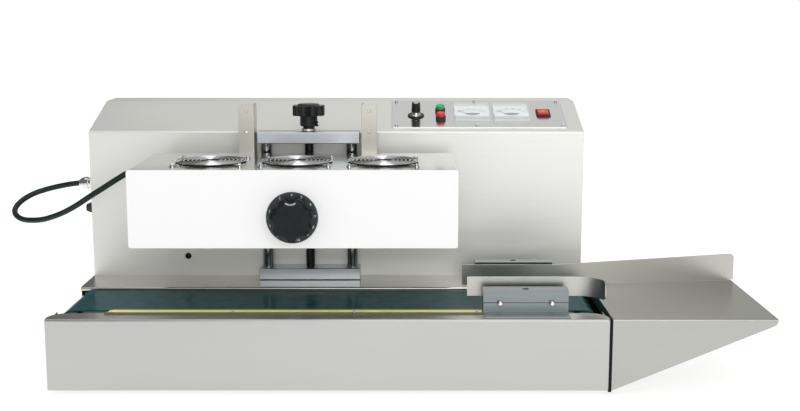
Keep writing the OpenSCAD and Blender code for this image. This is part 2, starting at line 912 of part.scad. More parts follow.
// The two bars that hold the lift's posts and screw, bolted to the cabinet
module lift_bars() {
    chamfer = 1.2;
    bore_l = bar_h + 2 * over;
    color(alu) at_origin()
        for (z = [z_lip, top_bar_z])
            difference() {
                along_x(lift_x - bar_reach / 2, bar_reach) polygon([
                    [bar_y + chamfer, z], [bar_y, z + chamfer],
                    [bar_y, z + bar_h - chamfer], [bar_y + chamfer, z + bar_h],
                    [cab_y, z + bar_h], [cab_y, z]
                ]);
                for (side = [-1, 1])
                    rod_z([lift_x + side * post_pitch / 2, post_y, z - over], post_d + 2 * run_fit, bore_l);
                rod_z([lift_x, post_y, z - over], journal_d + 2 * run_fit, bore_l);
            }
}

module guide_posts() {
    color("silver") at_origin()
        for (side = [-1, 1])
            rod_z([lift_x + side * post_pitch / 2, post_y, z_lip], post_d, top_bar_z + bar_h - z_lip);
}

// Lift screw between the bars, with a journal in each and the upper one in the knob
module lift_screw() {
    low = z_lip + bar_h + seat_gap;
    high = top_bar_z - seat_gap;
    top = top_bar_z + bar_h + star_neck_h + star_hub_h;
    color("dimgray") at_origin() {
        rod_z([lift_x, post_y, low], screw_d, high - low);
        rod_z([lift_x, post_y, z_lip + seat_gap], journal_d, top - z_lip - seat_gap);
    }
}

module star_outline() {
    lobe_r = star_d * 0.14;
    circle(star_d * 0.4);
    for (i = [0:star_lobes - 1])
        rotate((i + 0.5) * 360 / star_lobes)
            translate([star_d / 2 - lobe_r, 0])
                circle(lobe_r);
}

module star_knob() {
    z = top_bar_z + bar_h + seat_gap;
    head = star_neck_h + star_hub_h;
    color(black) at_origin() translate([lift_x, post_y, z]) difference() {
        union() {
            cylinder(d = star_neck_d, h = star_neck_h + over);
            translate([0, 0, star_neck_h]) cylinder(d = star_hub_d, h = star_hub_h + over);
            translate([0, 0, head]) linear_extrude(star_head_h) star_outline();
            translate([0, 0, head + star_head_h]) rotate_extrude() polygon([
                [0, -over], [star_d * 0.36, -over], [star_d * 0.36, 0],
                [star_d * 0.3, star_dome_h * 0.7], [star_d * 0.18, star_dome_h], [0, star_dome_h]
            ]);
        }
        translate([0, 0, -over]) cylinder(d = journal_d + 2 * run_fit, h = head + 2 * over);
    }
}

// Carriage behind the head: bushes on the posts and the nut on the lift screw
module carriage_block() {
    color("gray") at_origin() difference() {
        block([lift_x - hang_in, head_back, head_z + carriage_lift],
            [2 * hang_in, cab_y - carriage_clear - head_back, carriage_h]);
        for (side = [-1, 1])
            rod_z([lift_x + side * post_pitch / 2, post_y, head_z], post_d + 2 * run_fit, head_h);
        rod_z([lift_x, post_y, head_z], screw_d + 2 * run_fit, head_h);
    }
}

// Angle section with its front flange outwards and its side flange along the carriage
module angle_section() {
    square([angle_w, angle_t]);
    translate([angle_w - angle_t, 0]) square([angle_t, cab_y - carriage_clear - head_back]);
}

module hanger_angles() {
    hole_d = 5;
    color("tan") at_origin() translate([lift_x, head_back, head_z + 4])
        for (side = [0, 1])
            mirror([side, 0, 0]) translate([-hang_in - angle_w, 0, 0]) difference() {
                linear_extrude(angle_l) angle_section();
                for (up = hang_hole_up)
                    rod_y([angle_w / 2, -over, head_h - 4 + up], hole_d, angle_t + 2 * over);
            }
}

// Outline of the head from the front and the space inside it
module head_outline() {
    translate([head_x, head_z]) rounded(head_l, head_h, fold_r);
}

module head_inner() {
    t = sheet;
    translate([head_x + t, head_z + t]) rounded(head_l - 2 * t, head_h - 2 * t, fold_r - t);
}

// The four screw holes of a fan about its axis
module at_fan_holes() {
    for (x = [-1, 1], y = [-1, 1])
        translate([x * fan_holes / 2, y * fan_holes / 2, 0]) children();
}

module head_shell() {
    color(steel) at_origin() difference() {
        along_y(head_y + sheet, head_d - sheet) head_outline();
        along_y(head_y, head_d - sheet) head_inner();
        block([head_x + coil_flange, head_y + coil_flange, head_z - over],
            [head_l - 2 * coil_flange, head_d - 2 * coil_flange, sheet + 2 * over]);
        for (x = fan_x) {
            rod_z([x, fan_y, fan_top - over], fan_bore, sheet + 2 * over);
            translate([x, fan_y, fan_top - over])
                at_fan_holes()
                    cylinder(d = fan_screw_d, h = sheet + 2 * over);
        }
        rod_x(head_gland_p - [over, 0, 0], head_gland_d - 6, sheet + 2 * over);
    }
}

// White front: a pan whose rim slides into the shell
module head_front() {
    gap = 0.2;
    in = sheet + gap;
    color("white") at_origin() difference() {
        union() {
            along_y(head_y, sheet) head_outline();
            along_y(head_y, sheet + rim_d) translate([head_x + in, head_z + in])
                rounded(head_l - 2 * in, head_h - 2 * in, fold_r - sheet);
        }
        along_y(head_y + sheet, rim_d + over) translate([head_x + in + sheet, head_z + in + sheet])
            square([head_l - 2 * in - 2 * sheet, head_h - 2 * in - 2 * sheet]);
        rod_y([dial_x, head_y - over, dial_z], dial_shaft_d + 2, sheet + 2 * over);
    }
}

// Insulating tray that closes the head's underside and holds the coil
module coil_cover() {
    in = coil_flange + 1;
    rim_in = coil_flange - coil_lip;
    rim_y = head_y + coil_flange - 1;
    rim_t = 3;
    rim_lap = 3;
    w = head_l - 2 * in;
    d = head_d - 2 * in;
    color("ivory") at_origin() difference() {
        union() {
            translate([head_x + in, head_y + in, head_z - coil_drop])
                linear_extrude(coil_drop + sheet + rim_t) rounded(w, d, 8);
            for (x = [head_x + rim_in, head_x + head_l - coil_flange - rim_lap])
                block([x, rim_y, head_z + sheet], [coil_lip + rim_lap, head_d - 2 * coil_flange + 2, rim_t]);
        }
        translate([head_x + in + coil_wall, head_y + in + coil_wall, head_z - coil_drop + coil_wall])
            linear_extrude(coil_drop + sheet + rim_t) rounded(w - 2 * coil_wall, d - 2 * coil_wall, 5);
    }
}

module racetrack(l, r) {
    for (x = [-l / 2, l / 2])
        translate([x, 0]) circle(r);
    square([l, 2 * r], center = true);
}

// Flat coil: nested turns with straight sides and round ends
module induction_coil() {
    step = coil_wire + 2;
    r = head_d / 2 - coil_flange - coil_wall - 12;
    l = head_l - 2 * coil_flange - 2 * coil_wall - 2 * r - 24;
    color("peru") at_origin() translate([head_mid, head_y + head_d / 2, head_z - coil_drop + coil_wall])
        for (i = [0:coil_turns - 1])
            linear_extrude(coil_wire) difference() {
                racetrack(l, r - i * step);
                racetrack(l, r - i * step - coil_wire);
            }
}

// Fan frame: square duct with a motor plate on three struts and the rotor's post
module fan_frame() {
    z0 = fan_top - fan_depth;
    difference() {
        translate([-fan_size / 2, -fan_size / 2, z0])
            linear_extrude(fan_depth)
                rounded(fan_size, fan_size, 5);
        rod_z([0, 0, z0 - over], fan_bore, fan_depth + 2 * over);
        translate([0, 0, z0 - over]) at_fan_holes() cylinder(d = fan_screw_d, h = fan_depth + 2 * over);
    }
    rod_z([0, 0, z0], hub_d - 4, fan_plate_t);
    for (i = [0:2])
        rotate(i * 120 + 30) block([0, -3, z0], [fan_bore / 2 + 1, 6, fan_plate_t]);
    rod_z([0, 0, z0], fan_post_d, fan_plate_t + hub_h - 6);
}

module fan_frames() {
    color(black) at_origin()
        for (x = fan_x)
            translate([x, fan_y, 0]) fan_frame();
}

// Rotor: cup-shaped hub on the post with pitched blades
module fan_rotor(x) {
    z0 = fan_top - fan_depth + fan_plate_t + 0.5;
    r = fan_bore / 2 - blade_gap;
    chord = hub_h / sin(blade_a);
    translate([x, fan_y, z0]) difference() {
        union() {
            cylinder(d = hub_d, h = hub_h);
            intersection() {
                cylinder(r = r, h = hub_h);
                for (i = [0:blade_count - 1])
                    rotate(i * 360 / blade_count)
                        translate([hub_d / 2 - 3, 0, hub_h / 2])
                            rotate([blade_a, 0, 0])
                                translate([0, -chord / 2, -blade_t / 2])
                                    cube([r, chord, blade_t]);
            }
        }
        translate([0, 0, -over]) cylinder(d = fan_post_d + 2 * run_fit, h = hub_h - 5 + over);
    }
}

module fan_rotor_1() { color("dimgray") at_origin() fan_rotor(fan_x[0]); }

module fan_rotor_2() { color("dimgray") at_origin() fan_rotor(fan_x[1]); }

module fan_rotor_3() { color("dimgray") at_origin() fan_rotor(fan_x[2]); }

// Finger guard: wire rings on two crossing bars that end in screw eyes
module fan_guard() {
    reach = fan_holes / sqrt(2);
    eye_d = 9;
    foot = reach - eye_d / 2 - 1;
    bend = foot - guard_lift;
    top = guard_lift + guard_bar_t;
    difference() {
        union() {
            for (a = [45, 135])
                rotate(a) along_y(-guard_bar_w / 2, guard_bar_w) polygon([
                    [-reach, 0], [-foot, 0], [-bend, guard_lift], [bend, guard_lift], [foot, 0], [reach, 0],
                    [reach, guard_bar_t], [foot, guard_bar_t], [bend, top], [-bend, top],
                    [-foot, guard_bar_t], [-reach, guard_bar_t]
                ]);
            at_fan_holes() cylinder(d = eye_d, h = guard_bar_t);
            for (i = [0:guard_rings - 1])
                translate([0, 0, top + guard_wire * 0.35])
                    rotate_extrude()
                        translate([guard_in_r + i * guard_step, 0])
                            circle(d = guard_wire, $fn = 16);
        }
        translate([0, 0, -over]) at_fan_holes() cylinder(d = fan_screw_d, h = guard_bar_t + 2 * over);
    }
}

module fan_guards() {
    color("silver") at_origin()
        for (x = fan_x)
            translate([x, fan_y, head_top]) fan_guard();
}

module head_gland() {
    r = head_gland_d / 2;
    color(black) at_origin() translate(head_gland_p) rotate([0, -90, 0]) {
        rotate_extrude() polygon([
            [0, 0], [r, 0], [r, 6], [r - 1.5, 7], [r - 1.5, head_gland_l * 0.7],
            [cable_d / 2 + 1.2, head_gland_l], [0, head_gland_l]
        ]);
        translate([0, 0, -stub_l]) cylinder(d = head_gland_d - 6 - 2 * run_fit, h = stub_l);
    }
}

// Screws of the head: fan guards and the left hanger
module head_screws() {
    color("silver") at_origin() {
        for (x = fan_x)
            translate([x, fan_y, head_top + guard_bar_t]) at_fan_holes() pan_screw(screw_head_d);
        translate([lift_x - hang_in - angle_w / 2, head_back, head_top + hang_hole_up[0]]) rotate([90, 0, 0])
            pan_screw(screw_head_d);
    }
}

// Screws of the machine: control panel, rear cover, strip and guide clamps
module machine_screws() {
    in = panel_screw_in;
    cover_in = sheet + cover_flange / 2;
    strip_x1 = clamp_x - clamp_l / 2 - 1;
    clamp_top = z_lip + clamp_base_h + clamp_split + clamp_cap_h;
    color("silver") at_origin() {
        for (x = [in, panel_w / 2 - 4, panel_w - in], s = [in, panel_h - in])
            on_panel([x, s]) pan_screw(small_head_d);
        for (x = [cover_in, base_l / 2, base_l - cover_in], z = [z_lip + 14, z_top - cover_in])
            translate([x, base_d - cover_inset, z]) rotate([-90, 0, 0]) pan_screw(screw_head_d);
        for (i = [0.015, 0.34, 0.66, 0.985])
            translate([strip_x1 - strip_l * i, lip_d - 5, z_lip + strip_t]) pan_screw(small_head_d);
        for (y = [clamp_y + clamp_d / 3, rear_clamp_y + clamp_d * 2 / 3])
            rod_z([clamp_x, y, clamp_top - clamp_bore_h], clamp_screw_d, clamp_screw_h);
    }
}

// Dial plate with an eased edge
module dial_plate() {
    r = dial_d / 2;
    color(black) at_origin() translate([dial_x, head_y, dial_z]) rotate([90, 0, 0]) difference() {
        rotate_extrude() polygon([[0, 0], [r, 0], [r, dial_t - 1.4], [r - 1.4, dial_t], [0, dial_t]]);
        translate([0, 0, -over]) cylinder(d = dial_shaft_d + 2, h = dial_t + 2 * over);
    }
}

// Rotary regulator behind the dial, its bush through the front panel and the dial plate
module regulator() {
    y = head_y + sheet;
    bore_l = dial_t + sheet + 25;
    color("dimgray") at_origin() difference() {
        union() {
            rod_y([dial_x, y, dial_z], regulator_d, regulator_l);
            rod_y([dial_x, head_y - dial_t, dial_z], dial_shaft_d + 2 - 2 * run_fit, dial_t + sheet + over);
        }
        rod_y([dial_x, head_y - dial_t - over, dial_z], dial_shaft_d + 2 * run_fit - 2, bore_l + over);
    }
}

// Scalloped outline of the dial knob with one lobe pointing down
module dial_outline() {
    r = dial_knob_d / 2;
    difference() {
        circle(r);
        for (i = [0:dial_lobes - 1])
            rotate(90 + i * 360 / dial_lobes)
                translate([r * 0.79 + dial_notch_r, 0])
                    circle(dial_notch_r);
    }
}

module dial_knob() {
    r = dial_knob_d / 2;
    skirt = dial_knob_h - 5;
    shaft_l = dial_t + sheet + 22;
    color(black) at_origin() translate([dial_x, head_y - dial_t - seat_gap, dial_z]) rotate([90, 0, 0]) {
        intersection() {
            linear_extrude(dial_knob_h) dial_outline();
            rotate_extrude() polygon([
                [0, 0], [r, 0], [r, skirt], [r * 0.9, dial_knob_h - 1.6],
                [r * 0.72, dial_knob_h], [0, dial_knob_h]
            ]);
        }
        translate([0, 0, -shaft_l]) cylinder(d = dial_shaft_d - 2, h = shaft_l + over);
    }
}

// Clamp base: block with rod half bores and a foot flange in front of it
module clamp_base() {
    difference() {
        union() {
            block([-clamp_l / 2, 0, 0], [clamp_l, clamp_d, clamp_base_h]);
            block([-clamp_l / 2, -clamp_foot_d, 0], [clamp_l, clamp_foot_d + over, clamp_foot_t]);
        }
        clamp_bores();
    }
}

module clamp_bores() {
    for (dx = [-1, 1])
        rod_y([dx * rod_pitch / 2, -over, z_rod - z_lip], rod_d + 2 * run_fit, clamp_d + 2 * over);
}

module clamp_cap() {
    top = clamp_base_h + clamp_split + clamp_cap_h;
    difference() {
        block([-clamp_l / 2, 0, clamp_base_h + clamp_split], [clamp_l, clamp_d, clamp_cap_h]);
        clamp_bores();
        rod_z([0, clamp_d / 3, clamp_base_h], clamp_hole_d, clamp_cap_h);
        rod_z([0, clamp_d / 3, top - clamp_bore_h], clamp_bore_d, clamp_bore_h + over);
    }
}

// The front clamp stands on the lip; the rear one is turned round and stands on the deck
module at_clamps() {
    translate([clamp_x, clamp_y, z_lip]) children();
    translate([clamp_x, rear_clamp_y + clamp_d, z_lip]) rotate(180) children();
}

module clamp_bases() { color(alu) at_origin() at_clamps() clamp_base(); }

module clamp_caps() { color(alu) at_origin() at_clamps() clamp_cap(); }

// Rounds the free upper or lower corner of a plate standing in the x-z plane at x = 0
module plate_corner_cut(r, up) {
    rotate([90, 0, 0]) translate([-r, up ? -r : r, -20]) linear_extrude(40) difference() {
        translate([0, up ? 0 : -r - over]) square([r + over, r + over]);
        circle(r);
    }
}

// Front guide plate: straight, with two tabs for its rods and an end curled to the front
module front_guide_plate() {
    x1 = front_plate_x + front_guide_l;
    y = front_plate_y;
    r = front_curl_r;
    color(steel) at_origin() {
        block([front_plate_x, y, front_plate_z], [front_guide_l, guide_t, front_guide_h]);
        for (dx = [-1, 1])
            block(
                [clamp_x + dx * rod_pitch / 2 - tab_w / 2, y, front_plate_z - tab_h],
                [tab_w, guide_t, tab_h + over]
            );
        translate([x1, y + guide_t - r, front_plate_z]) difference() {
            rotate(90 - front_curl_a) rotate_extrude(angle = front_curl_a)
                translate([r - guide_t, 0]) square([guide_t, front_guide_h]);
            rotate(-front_curl_a) translate([0, r, front_guide_h]) plate_corner_cut(plate_corner_r, true);
            rotate(-front_curl_a) translate([0, r, 0]) plate_corner_cut(plate_corner_r, false);
        }
    }
}

module front_guide_rods() {
    y0 = clamp_y - front_rod_tip;
    color("silver") at_origin()
        for (dx = [-1, 1])
            rod_y([clamp_x + dx * rod_pitch / 2, y0, z_rod], rod_d, front_plate_y - y0);
}

// Rear guide plate: straight beside the belt, then turned back over the infeed table
module rear_guide_plate() {
    l = rear_guide_l;
    wing = rear_wing_l * [cos(rear_wing_a), sin(rear_wing_a)];
    across = guide_t * [-sin(rear_wing_a), cos(rear_wing_a)];
    mitre = guide_t * tan(rear_wing_a / 2);
    end = [l, 0] + wing;
    rise = (rear_high_h - rear_low_h) / wing.x;
    color(steel) at_origin() translate([rear_plate_x, rear_plate_y, rear_plate_z]) difference() {
        linear_extrude(rear_high_h + over)
            polygon([[0, 0], [l, 0], end, end + across, [l - mitre, guide_t], [0, guide_t]]);
        along_y(-over, end.y + guide_t + 2 * over) polygon([
            [-over, rear_low_h], [l, rear_low_h], [end.x + over, rear_high_h + rise * over],
            [end.x + over, rear_high_h + 2 * over], [-over, rear_high_h + 2 * over]
        ]);
        translate([end.x, end.y, rear_high_h - rise * plate_corner_r])
            rotate(rear_wing_a)
                plate_corner_cut(plate_corner_r, true);
    }
}

module rear_guide_rods() {
    y0 = rear_plate_y + guide_t;
    y1 = rear_clamp_y + clamp_d + rear_rod_tip;
    color("silver") at_origin()
        for (dx = [-1, 1])
            rod_y([clamp_x + dx * rod_pitch / 2, y0, z_rod], rod_d, y1 - y0);
}

// Power inverter on the deck inside the cabinet: case, capacitors and heat sink
module inverter_unit() {
    p = [inverter_x, cab_y + inverter_front, z_lip];
    depth = base_d - cover_inset - 2 * sheet - inverter_back - p.y;
    size = [inverter_l, depth, inverter_h];
    top = p.z + size.z - over;
    fin_in = 10;
    can_in = 25;
    fin = [4, depth - 2 * can_in - fin_in, 40];
    fin_step = 20;
    can_d = 35;
    can_h = 50;
    can_step = 70;
    color("steelblue") at_origin() {
        block(p, size);
        for (x = [fin_step / 2:fin_step:size.x - fin.x])
            block([p.x + x, p.y + fin_in, top], fin);
        for (x = [fin_step + can_in:can_step:size.x - can_d])
            rod_z([p.x + x, p.y + depth - can_in, top], can_d, can_h);
    }
}

// Cable swept along its route as one closed tube
function unit(v) = v / norm(v);
function route_dir(i) =
    let (n = len(cable_route) - 1)
    unit(cable_route[min(i + 1, n)] - cable_route[max(i - 1, 0)]);
function end_dir(i) = (i == 0 || i == len(cable_route) - 1) ? [1, 0, 0] * (i == 0 ? -1 : 1) : route_dir(i);
function ring_point(i, j) =
    let (
        t = end_dir(i),
        side = unit(cross(t, [0, 0.2, 1])),
        up = cross(side, t),
        a = 360 * j / cable_sides
    )
    cable_route[i] + cable_d / 2 * (cos(a) * side + sin(a) * up);

module head_cable() {
    n = len(cable_route);
    k = cable_sides;
    points = [for (i = [0:n - 1], j = [0:k - 1]) ring_point(i, j)];
    sides = [for (i = [0:n - 2], j = [0:k - 1])
        [i * k + j, i * k + (j + 1) % k, (i + 1) * k + (j + 1) % k, (i + 1) * k + j]];
    start = [for (j = [k - 1:-1:0]) j];
    finish = [for (j = [0:k - 1]) (n - 1) * k + j];
    color([0.08, 0.14, 0.12]) at_origin()
        polyhedron(points, concat([start, finish], sides));
}

base_tray();
rubber_feet();
rear_deck();
belt_bed();
conveyor_belt();
bearing_blocks();
gearmotor();
insulating_strip();
infeed_table();
joint_gasket();
cabinet_shell();
rear_cover();
control_panel();
meter_bodies();
meter_covers();
button_bezels();
switch_frame();
knob_ring();
speed_pot();
cable_gland();
mains_gland();
wall_grommet();
lift_bars();
guide_posts();
clamp_bases();
clamp_caps();
machine_screws();
inverter_unit();
head_cable();
drive_roller();
idler_roller();
lift_screw();
star_knob();
head_shell();
head_front();
coil_cover();
induction_coil();
carriage_block();
hanger_angles();
head_screws();
fan_frames();
fan_guards();
head_gland();
dial_plate();
regulator();
fan_rotor_1();
fan_rotor_2();
fan_rotor_3();
dial_knob();
speed_knob();
green_button();
red_button();
rocker();
needle_left();
needle_right();
front_guide_plate();
front_guide_rods();
rear_guide_plate();
rear_guide_rods();
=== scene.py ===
"""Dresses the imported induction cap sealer: finishes, fine pieces, studio and camera."""

import json
import logging
import math
from abc import ABC, abstractmethod
from contextlib import contextmanager
from dataclasses import dataclass
from enum import Enum
from typing import Callable, Iterator, Sequence

import bmesh
import bpy
from bpy.types import Material, Node, NodeSocket, NodeTree, Object
from mathutils import Matrix, Vector

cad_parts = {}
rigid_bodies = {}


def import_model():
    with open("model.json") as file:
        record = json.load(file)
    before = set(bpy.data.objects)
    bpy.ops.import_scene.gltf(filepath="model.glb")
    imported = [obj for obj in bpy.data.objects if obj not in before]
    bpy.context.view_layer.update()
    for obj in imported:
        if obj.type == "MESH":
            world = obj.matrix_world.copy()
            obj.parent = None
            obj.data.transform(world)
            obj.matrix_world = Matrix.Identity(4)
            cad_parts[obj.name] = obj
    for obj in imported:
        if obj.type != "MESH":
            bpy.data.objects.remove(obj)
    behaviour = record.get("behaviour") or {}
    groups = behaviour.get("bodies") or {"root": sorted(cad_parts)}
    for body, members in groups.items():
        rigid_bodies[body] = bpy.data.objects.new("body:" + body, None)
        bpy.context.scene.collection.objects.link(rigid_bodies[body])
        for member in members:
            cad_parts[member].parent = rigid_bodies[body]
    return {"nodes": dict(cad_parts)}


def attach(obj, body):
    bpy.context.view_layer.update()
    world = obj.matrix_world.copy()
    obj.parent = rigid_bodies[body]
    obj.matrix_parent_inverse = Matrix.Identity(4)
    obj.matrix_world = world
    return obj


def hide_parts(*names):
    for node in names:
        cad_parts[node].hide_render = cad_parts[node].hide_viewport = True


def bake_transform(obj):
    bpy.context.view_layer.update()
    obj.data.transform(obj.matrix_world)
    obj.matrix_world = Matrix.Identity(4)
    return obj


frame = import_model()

LOG = logging.getLogger("cap_sealer")
MM = 0.001
QUARTER = math.pi / 2
Point = tuple[float, float, float]
Colour = tuple[float, float, float]
Pair = tuple[float, float]
Pairs = tuple[Pair, ...]
Sockets = bpy.types.bpy_prop_collection


class Body(str, Enum):
    """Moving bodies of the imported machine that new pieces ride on."""

    MACHINE = "machine"
    HEAD = "head"
    SPINDLE = "lift_spindle"
    DIAL = "dial_knob"
    SPEED = "speed_knob"
    GREEN = "green_button"
    RED = "red_button"
    ROCKER = "rocker"
    FRONT_GUIDE = "front_guide"
    REAR_GUIDE = "rear_guide"


def shift(x: float = 0.0, y: float = 0.0, z: float = 0.0) -> Matrix:
    """Return a move by millimetres."""
    return Matrix.Translation((x * MM, y * MM, z * MM))


def turn(angle: float, axis: str = "Z") -> Matrix:
    """Return a turn by radians about an axis."""
    return Matrix.Rotation(angle, 4, axis)


class Axis(Enum):
    """Directions that a piece can point in, each a quarter turn from straight up."""

    RIGHT = ("Y", 1)
    FRONT = ("X", 1)
    BACK = ("X", -1)

    def matrix(self) -> Matrix:
        """Return the turn from straight up to this direction."""
        axis, way = self.value
        return turn(way * QUARTER, axis)


@dataclass(frozen=True)
class Datum:
    """Shift from the machine's lower left front corner to the part's origin, in millimetres."""

    x: float = 544.0
    y: float = 260.0

    def point(self, x: float, y: float, z: float) -> Vector:
        """Return a point, from the base's left end, front panel and floor, in metres in the part's frame."""
        return Vector(((x - self.x) * MM, (y - self.y) * MM, z * MM))

    def place(self, x: float, y: float, z: float, axis: Axis | None = None) -> Matrix:
        """Return the placement of a piece at a point, straight up or pointing along an axis."""
        at = Matrix.Translation(self.point(x, y, z))
        return at @ axis.matrix() if axis else at


@dataclass(frozen=True)
class PanelPlane:
    """The control panel's face on the cabinet's slope, in millimetres."""

    x: float = 526.0
    start: float = 15.75
    thickness: float = 1.5
    fold_y: float = 306.0
    fold_z: float = 376.0
    run: float = 139.0
    rise: float = 43.0

    def matrix(self, px: float, ps: float, out: float = 0.0) -> Matrix:
        """Return the placement of a piece on the panel.

        Args:
            px: Distance from the panel's left edge.
            ps: Distance up the panel from its lower edge.
            out: Height above the panel's face.

        Returns:
            Matrix with x along the panel, y up the slope and z out of it.
        """
        angle = math.atan2(self.rise, self.run)
        s = self.start + ps
        up = self.thickness + out
        return DATUM.place(
            self.x + px,
            self.fold_y + s * math.cos(angle) - up * math.sin(angle),
            self.fold_z + s * math.sin(angle) + up * math.cos(angle),
        ) @ turn(angle, "X")

    def folds(self) -> Pairs:
        """Return the depth and height of the folds at the slope's foot and top."""
        return (self.fold_y, self.fold_z), (self.fold_y + self.run, self.fold_z + self.rise)


DATUM = Datum()
PANEL = PanelPlane()


class Bench:
    """Modelling steps, each done with Blender's own operators on one object."""

    # Merge distances are in metres, angles in degrees and other lengths in millimetres.
    WELD: float = 1e-6
    NODE_WELD: float = 2e-6
    NODE_FLAT: float = 0.5
    NODE_SMOOTH: float = 50.0
    FOLD_NEAR: float = 0.05
    FOLD_WIDTH: float = 2.6
    FOLD_STEPS: int = 4
    ARC_STEPS: int = 32
    PRINT: float = 0.03
    PRINT_STEPS: int = 3
    LOOKS_UP: float = 0.9

    @staticmethod
    def clear() -> None:
        """Leave edit mode and deselect everything."""
        active = bpy.context.view_layer.objects.active
        if active is not None and active.mode != "OBJECT":
            bpy.ops.object.mode_set(mode="OBJECT")
        for obj in bpy.context.view_layer.objects:
            obj.select_set(False)

    @staticmethod
    def only(*objs: Object) -> None:
        """Select just these objects and make the first one active.

        Args:
            objs: The objects to select.
        """
        Bench.clear()
        for obj in objs:
            obj.select_set(True)
        bpy.context.view_layer.objects.active = objs[0]

    @staticmethod
    def named(name: str) -> Object:
        """Name the object that an operator has just added.

        Args:
            name: Name of the object and its data.

        Returns:
            The object.
        """
        obj = bpy.context.view_layer.objects.active
        obj.name = name
        obj.data.name = name
        return obj

    @staticmethod
    def linked(name: str, data: bpy.types.ID) -> Object:
        """Make an object of a mesh or a curve and put it in the scene.

        Args:
            name: Name of the object.
            data: Its mesh or curve.

        Returns:
            The new object.
        """
        obj = bpy.data.objects.new(name, data)
        bpy.context.scene.collection.objects.link(obj)
        return obj

    @staticmethod
    def cylinder(name: str, radius: float, depth: float, sides: int = 48) -> Object:
        """Add a cylinder that stands on the origin.

        Args:
            name: Name of the object.
            radius: Radius in millimetres.
            depth: Height in millimetres.
            sides: Number of sides.

        Returns:
            The new object.
        """
        Bench.clear()
        bpy.ops.mesh.primitive_cylinder_add(
            vertices=sides, radius=radius * MM, depth=depth * MM, location=(0, 0, depth * MM / 2)
        )
        return Bench.settle(Bench.named(name))

    @staticmethod
    def box(name: str, size: Point, at: Point = (0, 0, 0)) -> Object:
        """Add a box about a point.

        Args:
            name: Name of the object.
            size: Sides in millimetres.
            at: Centre in millimetres.

        Returns:
            The new object.
        """
        Bench.clear()
        bpy.ops.mesh.primitive_cube_add(
            size=1, location=[c * MM for c in at], scale=[c * MM for c in size]
        )
        return Bench.settle(Bench.named(name))

    @staticmethod
    def profile(name: str, points: Sequence[Pair]) -> Object:
        """Add a chain of edges in the x-z plane, to be spun or screwed.

        Args:
            name: Name of the object.
            points: Radius and height of each point, in millimetres.

        Returns:
            The new object.
        """
        mesh = bpy.data.meshes.new(name)
        verts = [(r * MM, 0.0, z * MM) for r, z in points]
        mesh.from_pydata(verts, [(i, i + 1) for i in range(len(verts) - 1)], [])
        return Bench.linked(name, mesh)

    @staticmethod
    def turned(name: str, points: Sequence[Pair], steps: int = 48) -> Object:
        """Spin a profile about z into a closed turned piece.

        Args:
            name: Name of the object.
            points: Radius and height of each point, in millimetres.
            steps: Number of steps round.

        Returns:
            The new object.
        """
        obj = Bench.profile(name, points)
        with Bench.editing(obj, "SELECT"):
            bpy.ops.mesh.spin(steps=steps, angle=math.tau, center=(0, 0, 0), axis=(0, 0, 1))
            bpy.ops.mesh.select_all(action="SELECT")
            bpy.ops.mesh.remove_doubles(threshold=Bench.WELD)
            bpy.ops.mesh.normals_make_consistent(inside=False)
        return obj

    @staticmethod
    def arc(name: str, inner: float, outer: float, swing: float, depth: float) -> Object:
        """Add a flat band of an arc about the origin, its middle towards y.

        Args:
            name: Name of the object.
            inner: Inner radius in millimetres.
            outer: Outer radius in millimetres.
            swing: Angle to each side of the middle, in degrees.
            depth: Thickness in millimetres.

        Returns:
            The new object.
        """
        obj = Bench.profile(name, [(inner, 0.0), (outer, 0.0)])
        half = math.radians(swing)
        Bench.settle(obj, turn(QUARTER - half))
        with Bench.editing(obj, "SELECT"):
            bpy.ops.mesh.spin(steps=Bench.ARC_STEPS, angle=2 * half, center=(0, 0, 0), axis=(0, 0, -1))
            bpy.ops.mesh.select_all(action="SELECT")
            bpy.ops.mesh.extrude_region_move(TRANSFORM_OT_translate={"value": (0, 0, depth * MM)})
            bpy.ops.mesh.select_all(action="SELECT")
            bpy.ops.mesh.normals_make_consistent(inside=False)
        return obj

    @staticmethod
    @contextmanager
    def editing(obj: Object, action: str = "DESELECT") -> Iterator[None]:
        """Work on one object in edit mode.

        Args:
            obj: The object to edit.
            action: Whether all of it is selected at first, or nothing.

        Returns:
            A context that leaves edit mode at its end.
        """
        Bench.only(obj)
        bpy.ops.object.mode_set(mode="EDIT")
        bpy.ops.mesh.select_mode(type="FACE")
        bpy.ops.mesh.select_all(action=action)
        yield
        bpy.ops.object.mode_set(mode="OBJECT")

    @staticmethod
    def pick_top(obj: Object) -> None:
        """Select the faces that look up, in edit mode.

        Args:
            obj: The object in edit mode.
        """
        mesh = bmesh.from_edit_mesh(obj.data)
        for face in mesh.faces:
            face.select_set(face.normal.z > Bench.LOOKS_UP)
        bmesh.update_edit_mesh(obj.data)

    @staticmethod
    def apply(obj: Object, kind: str, **settings: object) -> Object:
        """Add one modifier and apply it.

        Args:
            obj: The object to change.
            kind: Blender's name of the modifier type.
            settings: Values of the modifier.

        Returns:
            The same object.
        """
        Bench.only(obj)
        modifier = obj.modifiers.new(kind.title(), kind)
        for key, value in settings.items():
            setattr(modifier, key, value)
        bpy.ops.object.modifier_apply(modifier=modifier.name)
        return obj

    @staticmethod
    def cut(obj: Object, tool: Object) -> Object:
        """Cut a tool out of an object and remove it.

        Args:
            obj: The object to cut.
            tool: The cutting object.

        Returns:
            The same object.
        """
        Bench.apply(obj, "BOOLEAN", operation="DIFFERENCE", object=tool, solver="EXACT")
        bpy.data.objects.remove(tool)
        return obj

